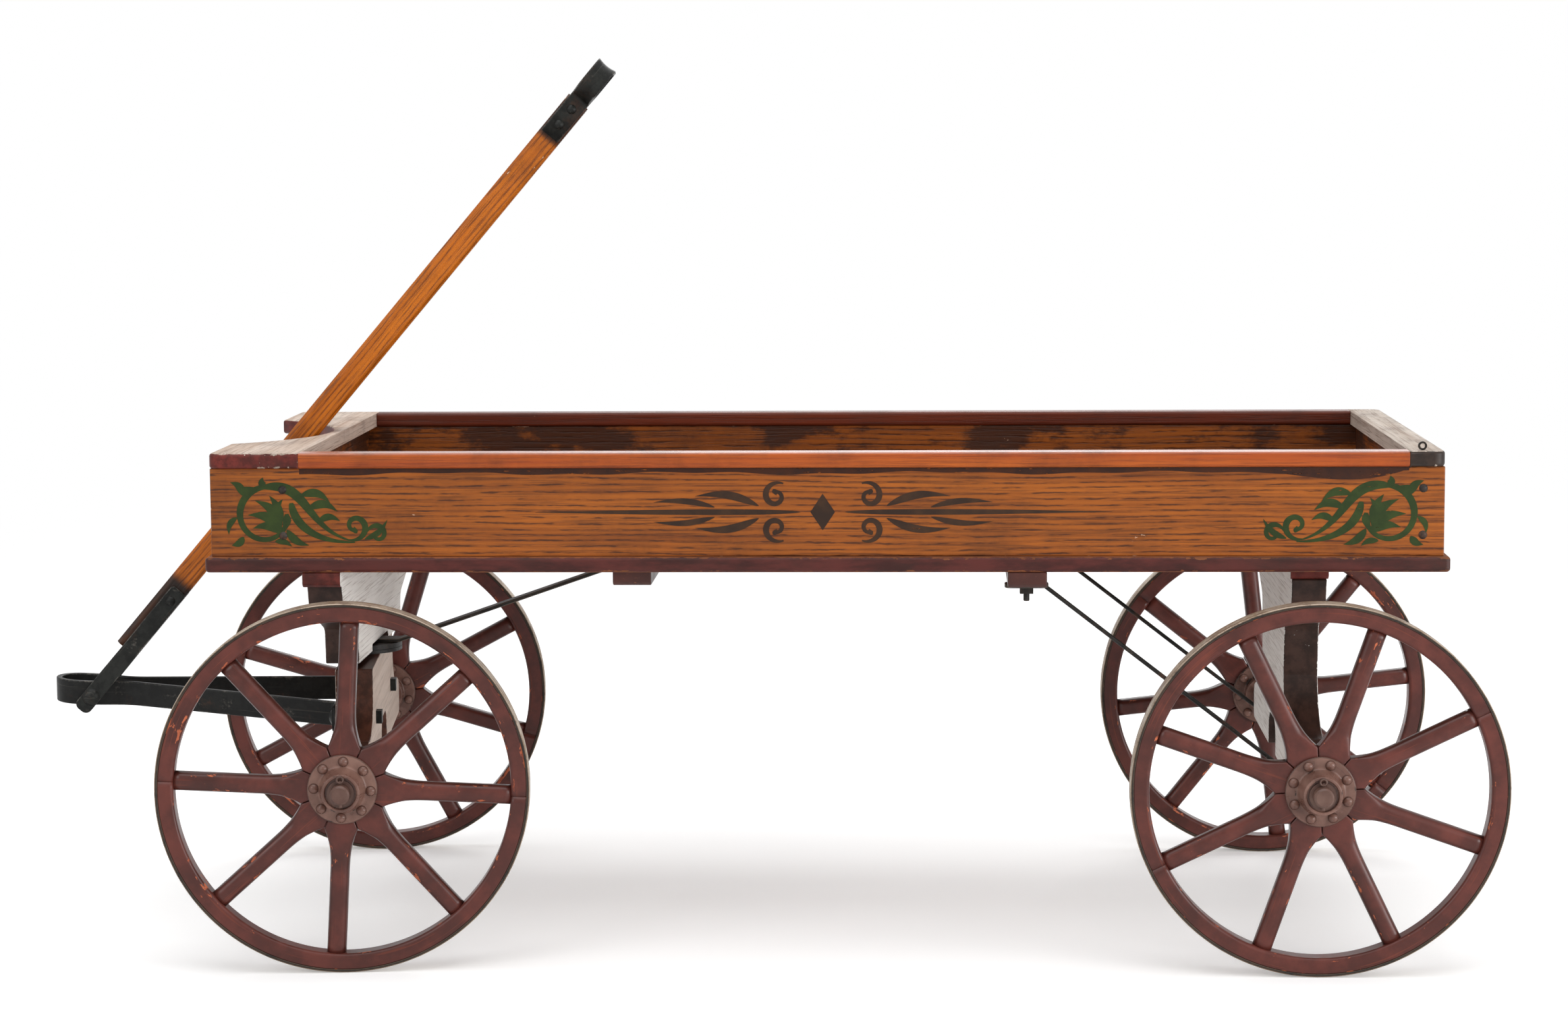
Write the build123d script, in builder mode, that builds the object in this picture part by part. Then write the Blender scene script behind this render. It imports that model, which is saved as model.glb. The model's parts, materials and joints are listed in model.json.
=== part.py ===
from build123d import *
import os
from math import asin, atan2, cos, hypot, radians, sin, sqrt

# A wooden coaster wagon: a boarded box on two bolsters, a steered front gear with a draw handle, and
# four artillery wheels. Millimetres and degrees, front at -X and the left side at -Y. The origin is on
# the ground under the middle of the overall length, from the draw-bar's nose to the rear tyres.

# Main sizes
inch = 25.4
wheel_radius = 6 * inch
wheelbase = 32 * inch
track = 19 * inch
body_width = 16 * inch
steer_at_rest = 5
band_thickness = 5
nose_x = -268
nose_round = 19.5
nose_reach = (-nose_x - nose_round) * cos(radians(steer_at_rest)) + nose_round + band_thickness / 2
middle_x = (nose_reach - wheel_radius) / 2
front_axle_x = middle_x - wheelbase / 2
rear_axle_x = middle_x + wheelbase / 2
axle_z = wheel_radius

# Box: floor, side boards, end boards, and the rails and caps along their top edges
board = inch / 2
lip = 5
floor_bottom = 324.5
floor_top = floor_bottom + board
side_height = 73
side_top = floor_top + side_height
rail_top = side_top + board
side_front = middle_x - 497
side_rear = middle_x + 509
side_face = body_width / 2
side_inner = side_face - board
outer_edge = side_face + lip
floor_seam = 36
floor_round = 4
rail_width = 20.2
front_cap_depth = 74
rear_cap_depth = 29
front_end_x = side_front + 53.5
rear_end_x = side_rear - 23.7
bay_depth = 65
bay_radius = 142
bay_x = side_front + bay_depth - bay_radius
cap_round = 2.5
seam_clear = 1
front_corner = 6
rear_corner = 9

# Screws through the side boards into the end boards
screw_shank = 1.7
screw_head = 3.5
screw_length = 28
screw_heights = (354.5, 392.5)
screw_rows = (front_end_x + board / 2, rear_end_x + board / 2)
slack = 0.1

# Eye on the rear cap
eye_x = side_rear - 18
eye_y = -199
eye_ring = 2.8
eye_wire = 0.8
eye_depth = 9

# Cleats under the floor: name, centre along X, half length across
cleat_width = 31.8
cleat_bottom = floor_bottom - board
cleat_bevel = 5
front_mid_x = middle_x - 151.5
rear_mid_x = middle_x + 172.5
cleats = (
    ("front_cleat", front_axle_x, 205),
    ("front_mid_cleat", front_mid_x, 170),
    ("rear_mid_cleat", rear_mid_x, outer_edge - 1),
    ("rear_cleat", rear_axle_x, 155),
)

# Bolsters, the shaped wooden stands that carry the box
bolster_thickness = 29
front_arm = ((191, cleat_bottom), (184, 289), (115, 264))
rear_arm = ((154, cleat_bottom), (149, 290), (97, 265))
arm_rounds = (9, 10)
front_foot = (112, 234)
front_relief = 44
front_relief_z = 240
rear_waist = (92, 222)
rear_hollow = (106, 194)
rear_foot = (150, 177)
rear_tip = 168
tip_z = 172
tip_rounds = (9, 6)
bolster_bottom = 141
arch_half = 31
arch_top = 171
arch_round = 15

# Axles, their shoulders, washers and split pins
axle_radius = 5 / 16 * inch
axle_bevel = 1.5
axle_slack = 0.05
shoulder_radius = 11
shoulder_width = 5.5
pin_radius = 1.6
pin_half = 11
washer_radius = 11
washer_thickness = 1.5

# Turning plates and king bolt
plate_radius = 33
upper_plate_z = 233
lower_plate_z = 229.7
plate_gap = 0.3
king_radius = inch / 4
king_slack = 0.07
king_head = 13
king_end_z = 161.2
king_nut = 9.5
king_nut_height = 9.2

# Front axle block
block_thickness = 32
block_waist = (116, 204)
block_hollow = (129, 186)
block_foot = (170, 177)
block_tip = 188

# Iron strap from the front bolster to its cleat, and the round stay rods of the rear axle
strap_thickness = 3
strap_width = 20
strap_front = front_axle_x - 18
strap_bend = front_axle_x + 32
strap_rise_end = front_mid_x - 14.5
strap_rear = front_mid_x + 13.5
strap_round = 12
rod_radius = 1.75
rod_y = 176
rod_lead = 14
rod_pad = 18
rod_pad_length = 36
rod_pad_round = 6
rod_pad_thickness = 3.4
rod_wrap = 285

# Bolts through the floor
bolt_shank = 3
bolt_head = 7.5
bolt_nut = 11
bolt_nut_height = 5
lag_depth = 62
lag_y = 62
cleat_bolt_y = 118

# Draw-bar, a flat iron band bent to a nose in front and two feet on the axle block
band_height = 21
band_nose_z = 197
band_foot_z = 184
band_foot_y = 99
band_corner_y = 70
band_neck_x = -205
band_neck_y = 11.5
band_cheek_x = -236
nose_y = 20
band_rounds = (8, 40, 30, nose_round, nose_round, 30, 40, 8)
foot_bolt_y = 86
pivot_x = -237
pivot_z = 194
pivot_radius = 4
pivot_slack = 0.08
pivot_nut = 13

# Draw handle, measured along its own length from the pivot
handle_tilt = 49.75
bar_start = 50
bar_end = 672
bar_rise = 3.1
bar_depth = 21
bar_width = 26
bar_bevel = 3
fork_thickness = 3
fork_width = 15
fork_y = 24.4
fork_end = -15
fork_joggle = (26, 46)
fork_round = 8
fork_tip = 120
fork_end_round = 5.5
fork_tip_cut = 2
fork_rivet_at = 108
grip_rivets_at = (646, 663)
rivet_shank = 2.2
rivet_head = 4.2
rivet_dome = 2
grip_start = 633
grip_thickness = 3.2
grip_width = 18
grip_neck = 676
grip_flare = 686
grip_bar = 711
grip_half = 46
grip_rounds = (6, 10, 8, 8, 10, 6)
grip_hollow = 12
grip_hollow_depth = 1.8

# Artillery wheel: steel tyre, two-piece felloe, wedge-footed spokes between two riveted hub flanges
tyre_thickness = 2.8
tyre_width = 20
felloe_inner = 136.8
felloe_width = 19
felloe_round = 3
felloe_cut = 0.4
spokes = 8
spoke_thickness = 16
spoke_half = 7.85
spoke_start = 14
spoke_end = 136.7
spoke_gap = 0.3
foot_reach = 36
flare_middle = (45.5, 9.7)
flare_end = 70
spoke_round = 4
edge_clear = 2
flange_radius = 28.5
flange_thickness = 3.5
flange_bevel = 1
hub_barrel = 13.5
hub_bore = axle_radius + king_slack
nose_root = 18.6
nose_rim = 15.5
nose_mouth = 12.8
nose_length = 29
cup_floor = 25.5
inner_nose = 17
inner_length = 22
hub_rivet_circle = 23.1
hub_rivet_shank = 2.5
hub_rivet_head = 4.3
hub_rivet_dome = 3.2
end_play = 0.3
axle_reach = 38

# Frames of the turned front gear and of the draw handle on it
gear = Plane(
    origin=(front_axle_x, 0, 0),
    x_dir=(cos(radians(steer_at_rest)), sin(radians(steer_at_rest)), 0),
    z_dir=(0, 0, 1),
)


def in_frame(base, origin, x_dir, z_dir):
    """Return a plane whose origin and directions are given in another plane's own axes."""
    inner = Plane(origin=origin, x_dir=x_dir, z_dir=z_dir)
    return Plane(base.location * inner.location)


lean = (cos(radians(handle_tilt)), 0, sin(radians(handle_tilt)))
rise = (-sin(radians(handle_tilt)), 0, cos(radians(handle_tilt)))
pivot = (pivot_x, 0, pivot_z)
handle_face = in_frame(gear, pivot, lean, rise)
bar_face = handle_face.offset(bar_rise)
handle_side = in_frame(gear, pivot, lean, (0, -1, 0))
gear_front = in_frame(gear, (0, 0, 0), (0, 1, 0), (1, 0, 0))
gear_axle = in_frame(gear, (0, 0, axle_z), (1, 0, 0), (0, -1, 0))
rear_axle_line = Plane(origin=(rear_axle_x, 0, axle_z), x_dir=(1, 0, 0), z_dir=(0, -1, 0))

os.makedirs("parts", exist_ok=True)


def keep(piece, name):
    """Label a finished piece and write it to its own STEP file."""
    piece.part.label = name
    export_step(piece.part, f"parts/{name}.step")


def dome_middle(radius, height):
    """Return the point halfway along a round dome's profile, from its rim at (radius, 0) to its crown."""
    ball = (radius**2 + height**2) / (2 * height)
    half_turn = asin(radius / ball) / 2
    return (ball * sin(half_turn), height - ball * (1 - cos(half_turn)))


def round_bolt(shank, head, length, nut_width=0, nut_height=0):
    """Return a domed bolt with its head on Z = 0, its shank hanging down and a square nut at its end."""
    with BuildPart() as made:
        with BuildSketch(Plane.XZ):
            with BuildLine():
                Polyline((0, head / 2), (0, -length), (shank, -length), (shank, 0), (head, 0))
                ThreePointArc((head, 0), dome_middle(head, head / 2), (0, head / 2))
            make_face()
        revolve(axis=Axis.Z)
        if nut_width:
            with Locations((0, 0, nut_height - length)):
                Box(nut_width, nut_width, nut_height, align=(Align.CENTER, Align.CENTER, Align.MAX))
    return made.part


# Floor boards, side by side with their seam clear of the king bolt
lag_places = [(x, y) for x in (front_axle_x, rear_axle_x) for y in (-lag_y, lag_y)]
strap_bolt = (front_mid_x, 0)
rod_bolts = [(rear_mid_x, -rod_y), (rear_mid_x, rod_y)]
cleat_bolts_at = [(front_mid_x, -cleat_bolt_y), (front_mid_x, cleat_bolt_y), (rear_mid_x, 0)]
through_bolts = [strap_bolt, *rod_bolts, *cleat_bolts_at]
bolt_hole = bolt_shank + slack


def floor_board(name, inner_y, outer_y):
    """Make one floor board between two edges, cut by the bay and drilled for the bolts."""
    with BuildPart() as plank:
        with BuildSketch(Plane.XY.offset(floor_bottom)):
            with Locations(((side_front + side_rear) / 2, (inner_y + outer_y) / 2)):
                Rectangle(side_rear - side_front + 2 * lip, abs(outer_y - inner_y))
            with Locations((bay_x, 0)):
                Circle(bay_radius, mode=Mode.SUBTRACT)
        extrude(amount=board)
        fillet(plank.faces().sort_by_distance((0, outer_y, floor_bottom))[0].edges(), floor_round)
        with Locations((front_axle_x, 0)):
            Hole(king_radius + slack)
        with Locations(*lag_places, *through_bolts):
            Hole(bolt_hole)
    keep(plank, name)


floor_board("floor_board_left", floor_seam, -outer_edge)
floor_board("floor_board_right", floor_seam, outer_edge)

# Side boards, drilled for the screws
with BuildPart() as side_board_left:
    with BuildSketch(Plane.XY.offset(floor_top)):
        with Locations(((side_front + side_rear) / 2, -(side_face + side_inner) / 2)):
            Rectangle(side_rear - side_front, board)
    extrude(amount=side_height)
    with Locations(
        *[Plane((x, -side_face, z), z_dir=(0, -1, 0)) for x in screw_rows for z in screw_heights]
    ):
        Hole(screw_shank + slack, board)
keep(side_board_left, "side_board_left")

with BuildPart() as side_board_right:
    mirror(side_board_left.part, about=Plane.XZ)
keep(side_board_right, "side_board_right")


def end_board(name, x):
    """Make one end board between the side boards, with screw holes in its ends."""
    middle = x + board / 2
    with BuildPart() as plank:
        with BuildSketch(Plane.XY.offset(floor_top)):
            with Locations((middle, 0)):
                Rectangle(board, 2 * side_inner)
        extrude(amount=side_height)
        for side in (-1, 1):
            with Locations(
                *[Plane((middle, side * side_inner, z), z_dir=(0, side, 0)) for z in screw_heights]
            ):
                Hole(screw_shank + slack, screw_length)
    keep(plank, name)


end_board("front_end_board", front_end_x)
end_board("rear_end_board", rear_end_x)

# Screws, one round head over each hole
screw = round_bolt(screw_shank, screw_head, screw_length)
with BuildPart() as board_screws:
    for side in (-1, 1):
        seats = [(x, side * side_face, z) for x in screw_rows for z in screw_heights]
        with Locations(*[Plane(seat, z_dir=(0, side, 0)) for seat in seats]):
            add(screw)
keep(board_screws, "board_screws")

# Side rails on the side boards, between the front and rear caps
rail_start = side_front + front_cap_depth
rail_finish = side_rear - rear_cap_depth
with BuildPart() as side_rail_left:
    with BuildSketch(Plane.XY.offset(side_top)):
        with Locations(((rail_start + rail_finish) / 2, rail_width / 2 - outer_edge)):
            Rectangle(rail_finish - rail_start, rail_width)
    extrude(amount=board)
    fillet(side_rail_left.edges().filter_by(Axis.X).group_by(Axis.Z)[-1], cap_round)
keep(side_rail_left, "side_rail_left")

with BuildPart() as side_rail_right:
    mirror(side_rail_left.part, about=Plane.XZ)
keep(side_rail_right, "side_rail_right")

# Front cap with the round bay that the folded handle leans in
with BuildPart() as front_cap:
    with BuildSketch(Plane.XY.offset(side_top)) as outline:
        with Locations((side_front + front_cap_depth / 2, 0)):
            Rectangle(front_cap_depth, 2 * outer_edge)
        with Locations((bay_x, 0)):
            Circle(bay_radius, mode=Mode.SUBTRACT)
        fillet(outline.vertices().group_by(Axis.X)[0], front_corner)
    extrude(amount=board)
    rim = front_cap.faces().sort_by(Axis.Z)[-1].edges()
    fillet(rim.filter_by(lambda edge: edge.center().X < rail_start - seam_clear), cap_round)
keep(front_cap, "front_cap")

# Rear cap, drilled for its eye
with BuildPart() as rear_cap:
    with BuildSketch(Plane.XY.offset(side_top)) as outline:
        with Locations((side_rear - rear_cap_depth / 2, 0)):
            Rectangle(rear_cap_depth, 2 * outer_edge)
        fillet(outline.vertices().group_by(Axis.X)[-1], rear_corner)
    extrude(amount=board)
    rim = rear_cap.faces().sort_by(Axis.Z)[-1].edges()
    fillet(rim.filter_by(lambda edge: edge.center().X > rail_finish + seam_clear), cap_round)
    with Locations((eye_x, eye_y, rail_top)):
        Hole(eye_wire + slack, eye_depth)
keep(rear_cap, "rear_cap")

with BuildPart() as eye_screw:
    with BuildSketch(Plane.XZ.offset(-eye_y)):
        with Locations((eye_x, rail_top + eye_ring + eye_wire)):
            Circle(eye_ring + eye_wire)
            Circle(eye_ring - eye_wire, mode=Mode.SUBTRACT)
    extrude(amount=eye_wire, both=True)
    with Locations((eye_x, eye_y, rail_top + eye_wire)):
        Cylinder(eye_wire, eye_depth, align=(Align.CENTER, Align.CENTER, Align.MAX))
keep(eye_screw, "eye_screw")

# Cleats across the underside, with bevelled ends
for cleat_name, cleat_x, cleat_half in cleats:
    with BuildPart() as cleat:
        with BuildSketch(Plane.XY.offset(cleat_bottom)):
            with Locations((cleat_x, 0)):
                Rectangle(cleat_width, 2 * cleat_half)
        extrude(amount=board)
        chamfer(cleat.faces().sort_by(Axis.Z)[0].edges().filter_by(Axis.X), cleat_bevel)
        with Locations((front_axle_x, 0, cleat_bottom)):
            Hole(king_radius + slack)
        with Locations(*[(x, y, cleat_bottom) for x, y in (*lag_places, *through_bolts)]):
            Hole(bolt_hole)
    keep(cleat, cleat_name)

# Bolts through the floor: lag screws into the bolsters, nutted bolts through the mid cleats
lag = round_bolt(bolt_shank, bolt_head, lag_depth)
cleat_grip = floor_top - cleat_bottom + bolt_nut_height
cleat_bolt = round_bolt(bolt_shank, bolt_head, cleat_grip, bolt_nut, bolt_nut_height)
strap_grip = cleat_grip + strap_thickness
strap_end_bolt = round_bolt(bolt_shank, bolt_head, strap_grip, bolt_nut, bolt_nut_height)
rod_grip = cleat_grip + rod_pad_thickness
rod_bolt = round_bolt(bolt_shank, bolt_head, rod_grip, bolt_nut, bolt_nut_height)
with BuildPart(Plane.XY.offset(floor_top)) as floor_bolts:
    with Locations(*lag_places):
        add(lag)
    with Locations(*cleat_bolts_at):
        add(cleat_bolt)
    with Locations(strap_bolt):
        add(strap_end_bolt)
    with Locations(*rod_bolts):
        add(rod_bolt)
keep(floor_bolts, "floor_bolts")

# Front bolster, with raked arms and a relief over the turning plates
with BuildPart() as front_bolster:
    with BuildSketch(Plane.YZ.offset(front_axle_x)):
        with BuildLine():
            FilletPolyline(*front_arm, front_foot, radius=arm_rounds)
            Polyline(
                front_foot,
                (front_relief, front_foot[1]),
                (front_relief, front_relief_z),
                (0, front_relief_z),
                (0, cleat_bottom),
                front_arm[0],
            )
        make_face()
        mirror(about=Plane.YZ)
    extrude(amount=bolster_thickness / 2, both=True)
    with Locations((front_axle_x, 0)):
        Hole(king_radius + slack)
    with Locations(*[(x, y, cleat_bottom) for x, y in lag_places]):
        Hole(bolt_hole, lag_depth)
keep(front_bolster, "front_bolster")

# Rear bolster, waisted, with hollow flanks, an arch between its feet and the axle bored through them
arch = ((arch_half, bolster_bottom), (arch_half, arch_top), (0, arch_top))
with BuildPart() as rear_bolster:
    with BuildSketch(Plane.YZ.offset(rear_axle_x)):
        with BuildLine():
            Polyline((0, arch_top), (0, cleat_bottom), rear_arm[0])
            FilletPolyline(*rear_arm, rear_waist, radius=arm_rounds)
            ThreePointArc(rear_waist, rear_hollow, rear_foot)
            FilletPolyline(
                rear_foot, (rear_tip, tip_z), (rear_tip, bolster_bottom), arch[0], radius=tip_rounds
            )
            FilletPolyline(*arch, radius=arch_round)
        make_face()
        mirror(about=Plane.YZ)
    extrude(amount=bolster_thickness / 2, both=True)
    with Locations(rear_axle_line):
        Hole(axle_radius + axle_slack)
    with Locations(*[(x, y, cleat_bottom) for x, y in lag_places]):
        Hole(bolt_hole, lag_depth)
keep(rear_bolster, "rear_bolster")

# Axles, each with a shoulder behind both hubs and a pin hole near both ends
shoulder_outer = track / 2 - inner_length - end_play
axle_half = track / 2 + axle_reach
pin_at = track / 2 + cup_floor + end_play + washer_thickness + end_play + pin_radius
with BuildPart() as axle:
    with BuildSketch(Plane.XZ):
        with BuildLine():
            Polyline(
                (0, 0),
                (0, axle_half),
                (axle_radius - axle_bevel, axle_half),
                (axle_radius, axle_half - axle_bevel),
                (axle_radius, shoulder_outer),
                (shoulder_radius, shoulder_outer),
                (shoulder_radius, shoulder_outer - shoulder_width),
                (axle_radius, shoulder_outer - shoulder_width),
                (axle_radius, 0),
                close=True,
            )
        make_face()
    revolve(axis=Axis.Z)
    with Locations(Plane((0, 0, pin_at), z_dir=(0, 1, 0))):
        Hole(pin_radius + slack / 2)
    mirror(about=Plane.XY)

# Washers in the hub cups and the split pins that hold the wheels on
with BuildPart() as axle_pins:
    with BuildSketch(Plane.XY.offset(track / 2 + cup_floor + end_play)):
        Circle(washer_radius)
        Circle(axle_radius + slack, mode=Mode.SUBTRACT)
    extrude(amount=washer_thickness)
    with Locations(Plane((0, 0, pin_at), z_dir=(0, 1, 0))):
        Cylinder(pin_radius, 2 * pin_half)
    mirror(about=Plane.XY)

for line, axle_name in ((rear_axle_line, "rear_axle"), (gear_axle, "front_axle")):
    with BuildPart() as fitted:
        with Locations(line):
            add(axle.part)
    keep(fitted, axle_name)
    with BuildPart() as fitted:
        with Locations(line):
            add(axle_pins.part)
    keep(fitted, axle_name + "_pins")

# Strap that braces the front bolster against the front mid cleat
strap_low = front_relief_z - strap_thickness / 2
strap_high = cleat_bottom - strap_thickness / 2
with BuildPart() as front_brace:
    with BuildSketch(Plane.XZ):
        with BuildLine():
            FilletPolyline(
                (strap_front, strap_low),
                (strap_bend, strap_low),
                (strap_rise_end, strap_high),
                (strap_rear, strap_high),
                radius=strap_round,
            )
        trace(line_width=strap_thickness)
    extrude(amount=strap_width / 2, both=True)
    with Locations((front_axle_x, 0)):
        Hole(king_radius + slack)
    with Locations((*strap_bolt, cleat_bottom)):
        Hole(bolt_hole)
keep(front_brace, "front_brace")

# Stay rods from the rear mid cleat to hooks round the rear axle
rod_start = (rear_mid_x + rod_lead, cleat_bottom - rod_radius)
hook_radius = axle_radius + rod_radius + slack
to_axle = (rear_axle_x - rod_start[0], axle_z - rod_start[1])
rod_angle = atan2(to_axle[1], to_axle[0]) - asin(hook_radius / hypot(*to_axle))
rod_run = sqrt(hypot(*to_axle) ** 2 - hook_radius**2)
rod_dir = (cos(rod_angle), sin(rod_angle))
hook_start = (rod_start[0] + rod_run * rod_dir[0], rod_start[1] + rod_run * rod_dir[1])
with BuildPart() as rear_braces:
    with BuildLine(Plane.XZ.offset(rod_y)) as rod_path:
        Line(rod_start, hook_start)
        JernArc(hook_start, rod_dir, hook_radius, rod_wrap)
    with BuildSketch(Plane(origin=rod_path.line @ 0, z_dir=rod_path.line % 0)):
        Circle(rod_radius)
    sweep()
    with BuildSketch(Plane.XY.offset(cleat_bottom)):
        with Locations((rear_mid_x, -rod_y)):
            RectangleRounded(rod_pad_length, rod_pad, rod_pad_round)
            Circle(bolt_hole, mode=Mode.SUBTRACT)
    extrude(amount=-rod_pad_thickness)
    mirror(about=Plane.XZ)
keep(rear_braces, "rear_braces")

# King bolt with its nut in the arch of the front axle block
with BuildPart() as king_bolt:
    with Locations((front_axle_x, 0, floor_top)):
        add(round_bolt(king_radius, king_head, floor_top - king_end_z))
    with BuildSketch(Plane.XY.offset(king_end_z)):
        with Locations((front_axle_x, 0)):
            RegularPolygon(king_nut, 6)
    extrude(amount=king_nut_height)
keep(king_bolt, "king_bolt")

# Turning plates, the upper on the bolster and the lower on the axle block
with BuildPart() as fifth_wheel_upper:
    with BuildSketch(Plane.XY.offset(upper_plate_z)):
        with Locations((front_axle_x, 0)):
            Circle(plate_radius)
            Circle(king_radius + slack, mode=Mode.SUBTRACT)
    extrude(amount=front_relief_z - strap_thickness - upper_plate_z)
keep(fifth_wheel_upper, "fifth_wheel_upper")

with BuildPart() as fifth_wheel_lower:
    with BuildSketch(gear.offset(lower_plate_z)):
        Circle(plate_radius)
        Circle(king_radius + king_slack, mode=Mode.SUBTRACT)
    extrude(amount=upper_plate_z - plate_gap - lower_plate_z)
keep(fifth_wheel_lower, "fifth_wheel_lower")

# Front axle block, with hollow flanks and an arch over the king bolt's nut
foot_places = [(0, y, band_foot_z) for y in (-foot_bolt_y, foot_bolt_y)]
foot_bolts_at = [in_frame(gear, place, (0, 1, 0), (-1, 0, 0)) for place in foot_places]
with BuildPart() as front_axle_block:
    with BuildSketch(gear_front):
        with BuildLine():
            Polyline((0, arch_top), (0, lower_plate_z), (block_waist[0], lower_plate_z), block_waist)
            ThreePointArc(block_waist, block_hollow, block_foot)
            FilletPolyline(
                block_foot, (block_tip, tip_z), (block_tip, bolster_bottom), arch[0], radius=tip_rounds
            )
            FilletPolyline(*arch, radius=arch_round)
        make_face()
        mirror(about=Plane.YZ)
    extrude(amount=block_thickness / 2, both=True)
    with Locations(gear_axle):
        Hole(axle_radius + axle_slack)
    with Locations(gear.offset(lower_plate_z)):
        Hole(king_radius + king_slack)
    with Locations(*foot_bolts_at):
        Hole(bolt_hole)
keep(front_axle_block, "front_axle_block")

# Draw-bar, rising from its feet to its nose, with upright sides, bored across for the handle's pivot
band_foot_x = -(block_thickness + band_thickness) / 2
band_slope = atan2(band_nose_z - band_foot_z, band_foot_x - pivot_x)
band_low = (band_foot_x, 0, band_foot_z - band_height / 2)
band_run = (cos(band_slope), 0, -sin(band_slope))
band_plane = in_frame(gear, band_low, band_run, (sin(band_slope), 0, cos(band_slope)))
band_plan = (
    (band_foot_x, band_foot_y),
    (band_foot_x, band_corner_y),
    (band_neck_x, band_neck_y),
    (band_cheek_x, nose_y),
    (nose_x, nose_y),
)
band_half = [((x - band_foot_x) / cos(band_slope), y) for x, y in band_plan]
pivot_line = in_frame(gear, pivot, (1, 0, 0), (0, -1, 0))
with BuildPart() as draw_bar:
    with BuildSketch(band_plane):
        with BuildLine():
            FilletPolyline(*band_half, *[(x, -y) for x, y in reversed(band_half)], radius=band_rounds)
        trace(line_width=band_thickness)
    extrude(amount=band_height, dir=(0, 0, 1))
    with Locations(pivot_line):
        Hole(pivot_radius + pivot_slack)
    with Locations(*foot_bolts_at):
        Hole(bolt_hole)
keep(draw_bar, "draw_bar")

foot_bolt_length = band_thickness + block_thickness + bolt_nut_height
foot_bolt = round_bolt(bolt_shank, bolt_head, foot_bolt_length, bolt_nut, bolt_nut_height)
with BuildPart() as draw_bar_bolts:
    for foot in foot_bolts_at:
        with Locations(foot.offset(block_thickness / 2 + band_thickness)):
            add(foot_bolt)
keep(draw_bar_bolts, "draw_bar_bolts")

# Handle bar, bevelled along its length
handle_line = Axis(handle_face.origin, handle_face.x_dir)
fork_rivet_line = in_frame(handle_side, (fork_rivet_at, 0, 0), (1, 0, 0), (0, 0, 1))
grip_places = [(u, bar_rise, 0) for u in grip_rivets_at]
grip_rivet_lines = [in_frame(handle_side, place, (1, 0, 0), (0, 0, 1)) for place in grip_places]
with BuildPart() as handle_bar:
    with BuildSketch(bar_face):
        with Locations(((bar_start + bar_end) / 2, 0)):
            Rectangle(bar_end - bar_start, bar_width)
    extrude(amount=bar_depth / 2, both=True)
    chamfer(handle_bar.edges().filter_by(handle_line), bar_bevel)
    with Locations(fork_rivet_line, *grip_rivet_lines):
        Hole(rivet_shank + slack)
keep(handle_bar, "handle_bar")

# Fork straps, joggled out round the draw-bar's nose and rounded at their ends
strap_y = (bar_width + fork_thickness) / 2
with BuildPart() as handle_straps:
    with BuildSketch(handle_face):
        with BuildLine():
            FilletPolyline(
                (fork_end, -fork_y),
                (fork_joggle[0], -fork_y),
                (fork_joggle[1], -strap_y),
                (fork_tip, -strap_y),
                radius=fork_round,
            )
        trace(line_width=fork_thickness)
    extrude(amount=fork_width / 2, both=True)
    across = Axis(handle_side.origin, handle_side.z_dir)
    ends = handle_straps.edges().filter_by(across).sort_by(handle_line)
    fillet(ends[:2], fork_end_round)
    chamfer(ends[-2:], fork_tip_cut)
    mirror(about=in_frame(handle_face, (0, 0, 0), (1, 0, 0), (0, 1, 0)))
    with Locations(pivot_line):
        Hole(pivot_radius + slack / 2)
    with Locations(fork_rivet_line):
        Hole(rivet_shank + slack)
keep(handle_straps, "handle_straps")

# Grip loop, a strip bent into a stirrup with a hollow outer face
grip_y = (bar_width + grip_thickness) / 2
grip_side = ((grip_start, grip_y), (grip_neck, grip_y), (grip_flare, grip_half), (grip_bar, grip_half))
hollow_u = grip_bar + grip_thickness / 2 + grip_hollow - grip_hollow_depth
with BuildPart() as grip_loop:
    with BuildSketch(bar_face):
        with BuildLine():
            FilletPolyline(*grip_side, *[(u, -y) for u, y in reversed(grip_side)], radius=grip_rounds)
        trace(line_width=grip_thickness)
    extrude(amount=grip_width / 2, both=True)
    with Locations(*grip_rivet_lines):
        Hole(rivet_shank + slack)
    with BuildSketch(handle_side):
        with Locations((hollow_u, bar_rise)):
            Circle(grip_hollow)
    extrude(amount=grip_half, both=True, mode=Mode.SUBTRACT)
keep(grip_loop, "grip_loop")


def rivet(shank, half_grip, head, dome):
    """Return a rivet along Z, centred on the origin, with a low dome at both ends."""
    middle_r, middle_h = dome_middle(head, dome)
    crown = (0, half_grip + dome)
    with BuildPart() as made:
        with BuildSketch(Plane.XZ):
            with BuildLine():
                Polyline((shank, 0), (shank, half_grip), (head, half_grip))
                ThreePointArc((head, half_grip), (middle_r, half_grip + middle_h), crown)
                Polyline(crown, (0, 0), (shank, 0))
            make_face()
        revolve(axis=Axis.Z)
        mirror(about=Plane.XY)
    return made.part


fork_rivet = rivet(rivet_shank, bar_width / 2 + fork_thickness, rivet_head, rivet_dome)
grip_rivet = rivet(rivet_shank, bar_width / 2 + grip_thickness, rivet_head, rivet_dome)
with BuildPart() as handle_rivets:
    with Locations(fork_rivet_line):
        add(fork_rivet)
    with Locations(*grip_rivet_lines):
        add(grip_rivet)
keep(handle_rivets, "handle_rivets")

# Pivot bolt of the handle
pivot_head_y = fork_y + fork_thickness / 2
pivot_length = 2 * pivot_head_y + bolt_nut_height
with BuildPart() as handle_bolt:
    with Locations(pivot_line.offset(pivot_head_y)):
        add(round_bolt(pivot_radius, bolt_head, pivot_length, pivot_nut, bolt_nut_height))
keep(handle_bolt, "handle_bolt")

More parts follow.
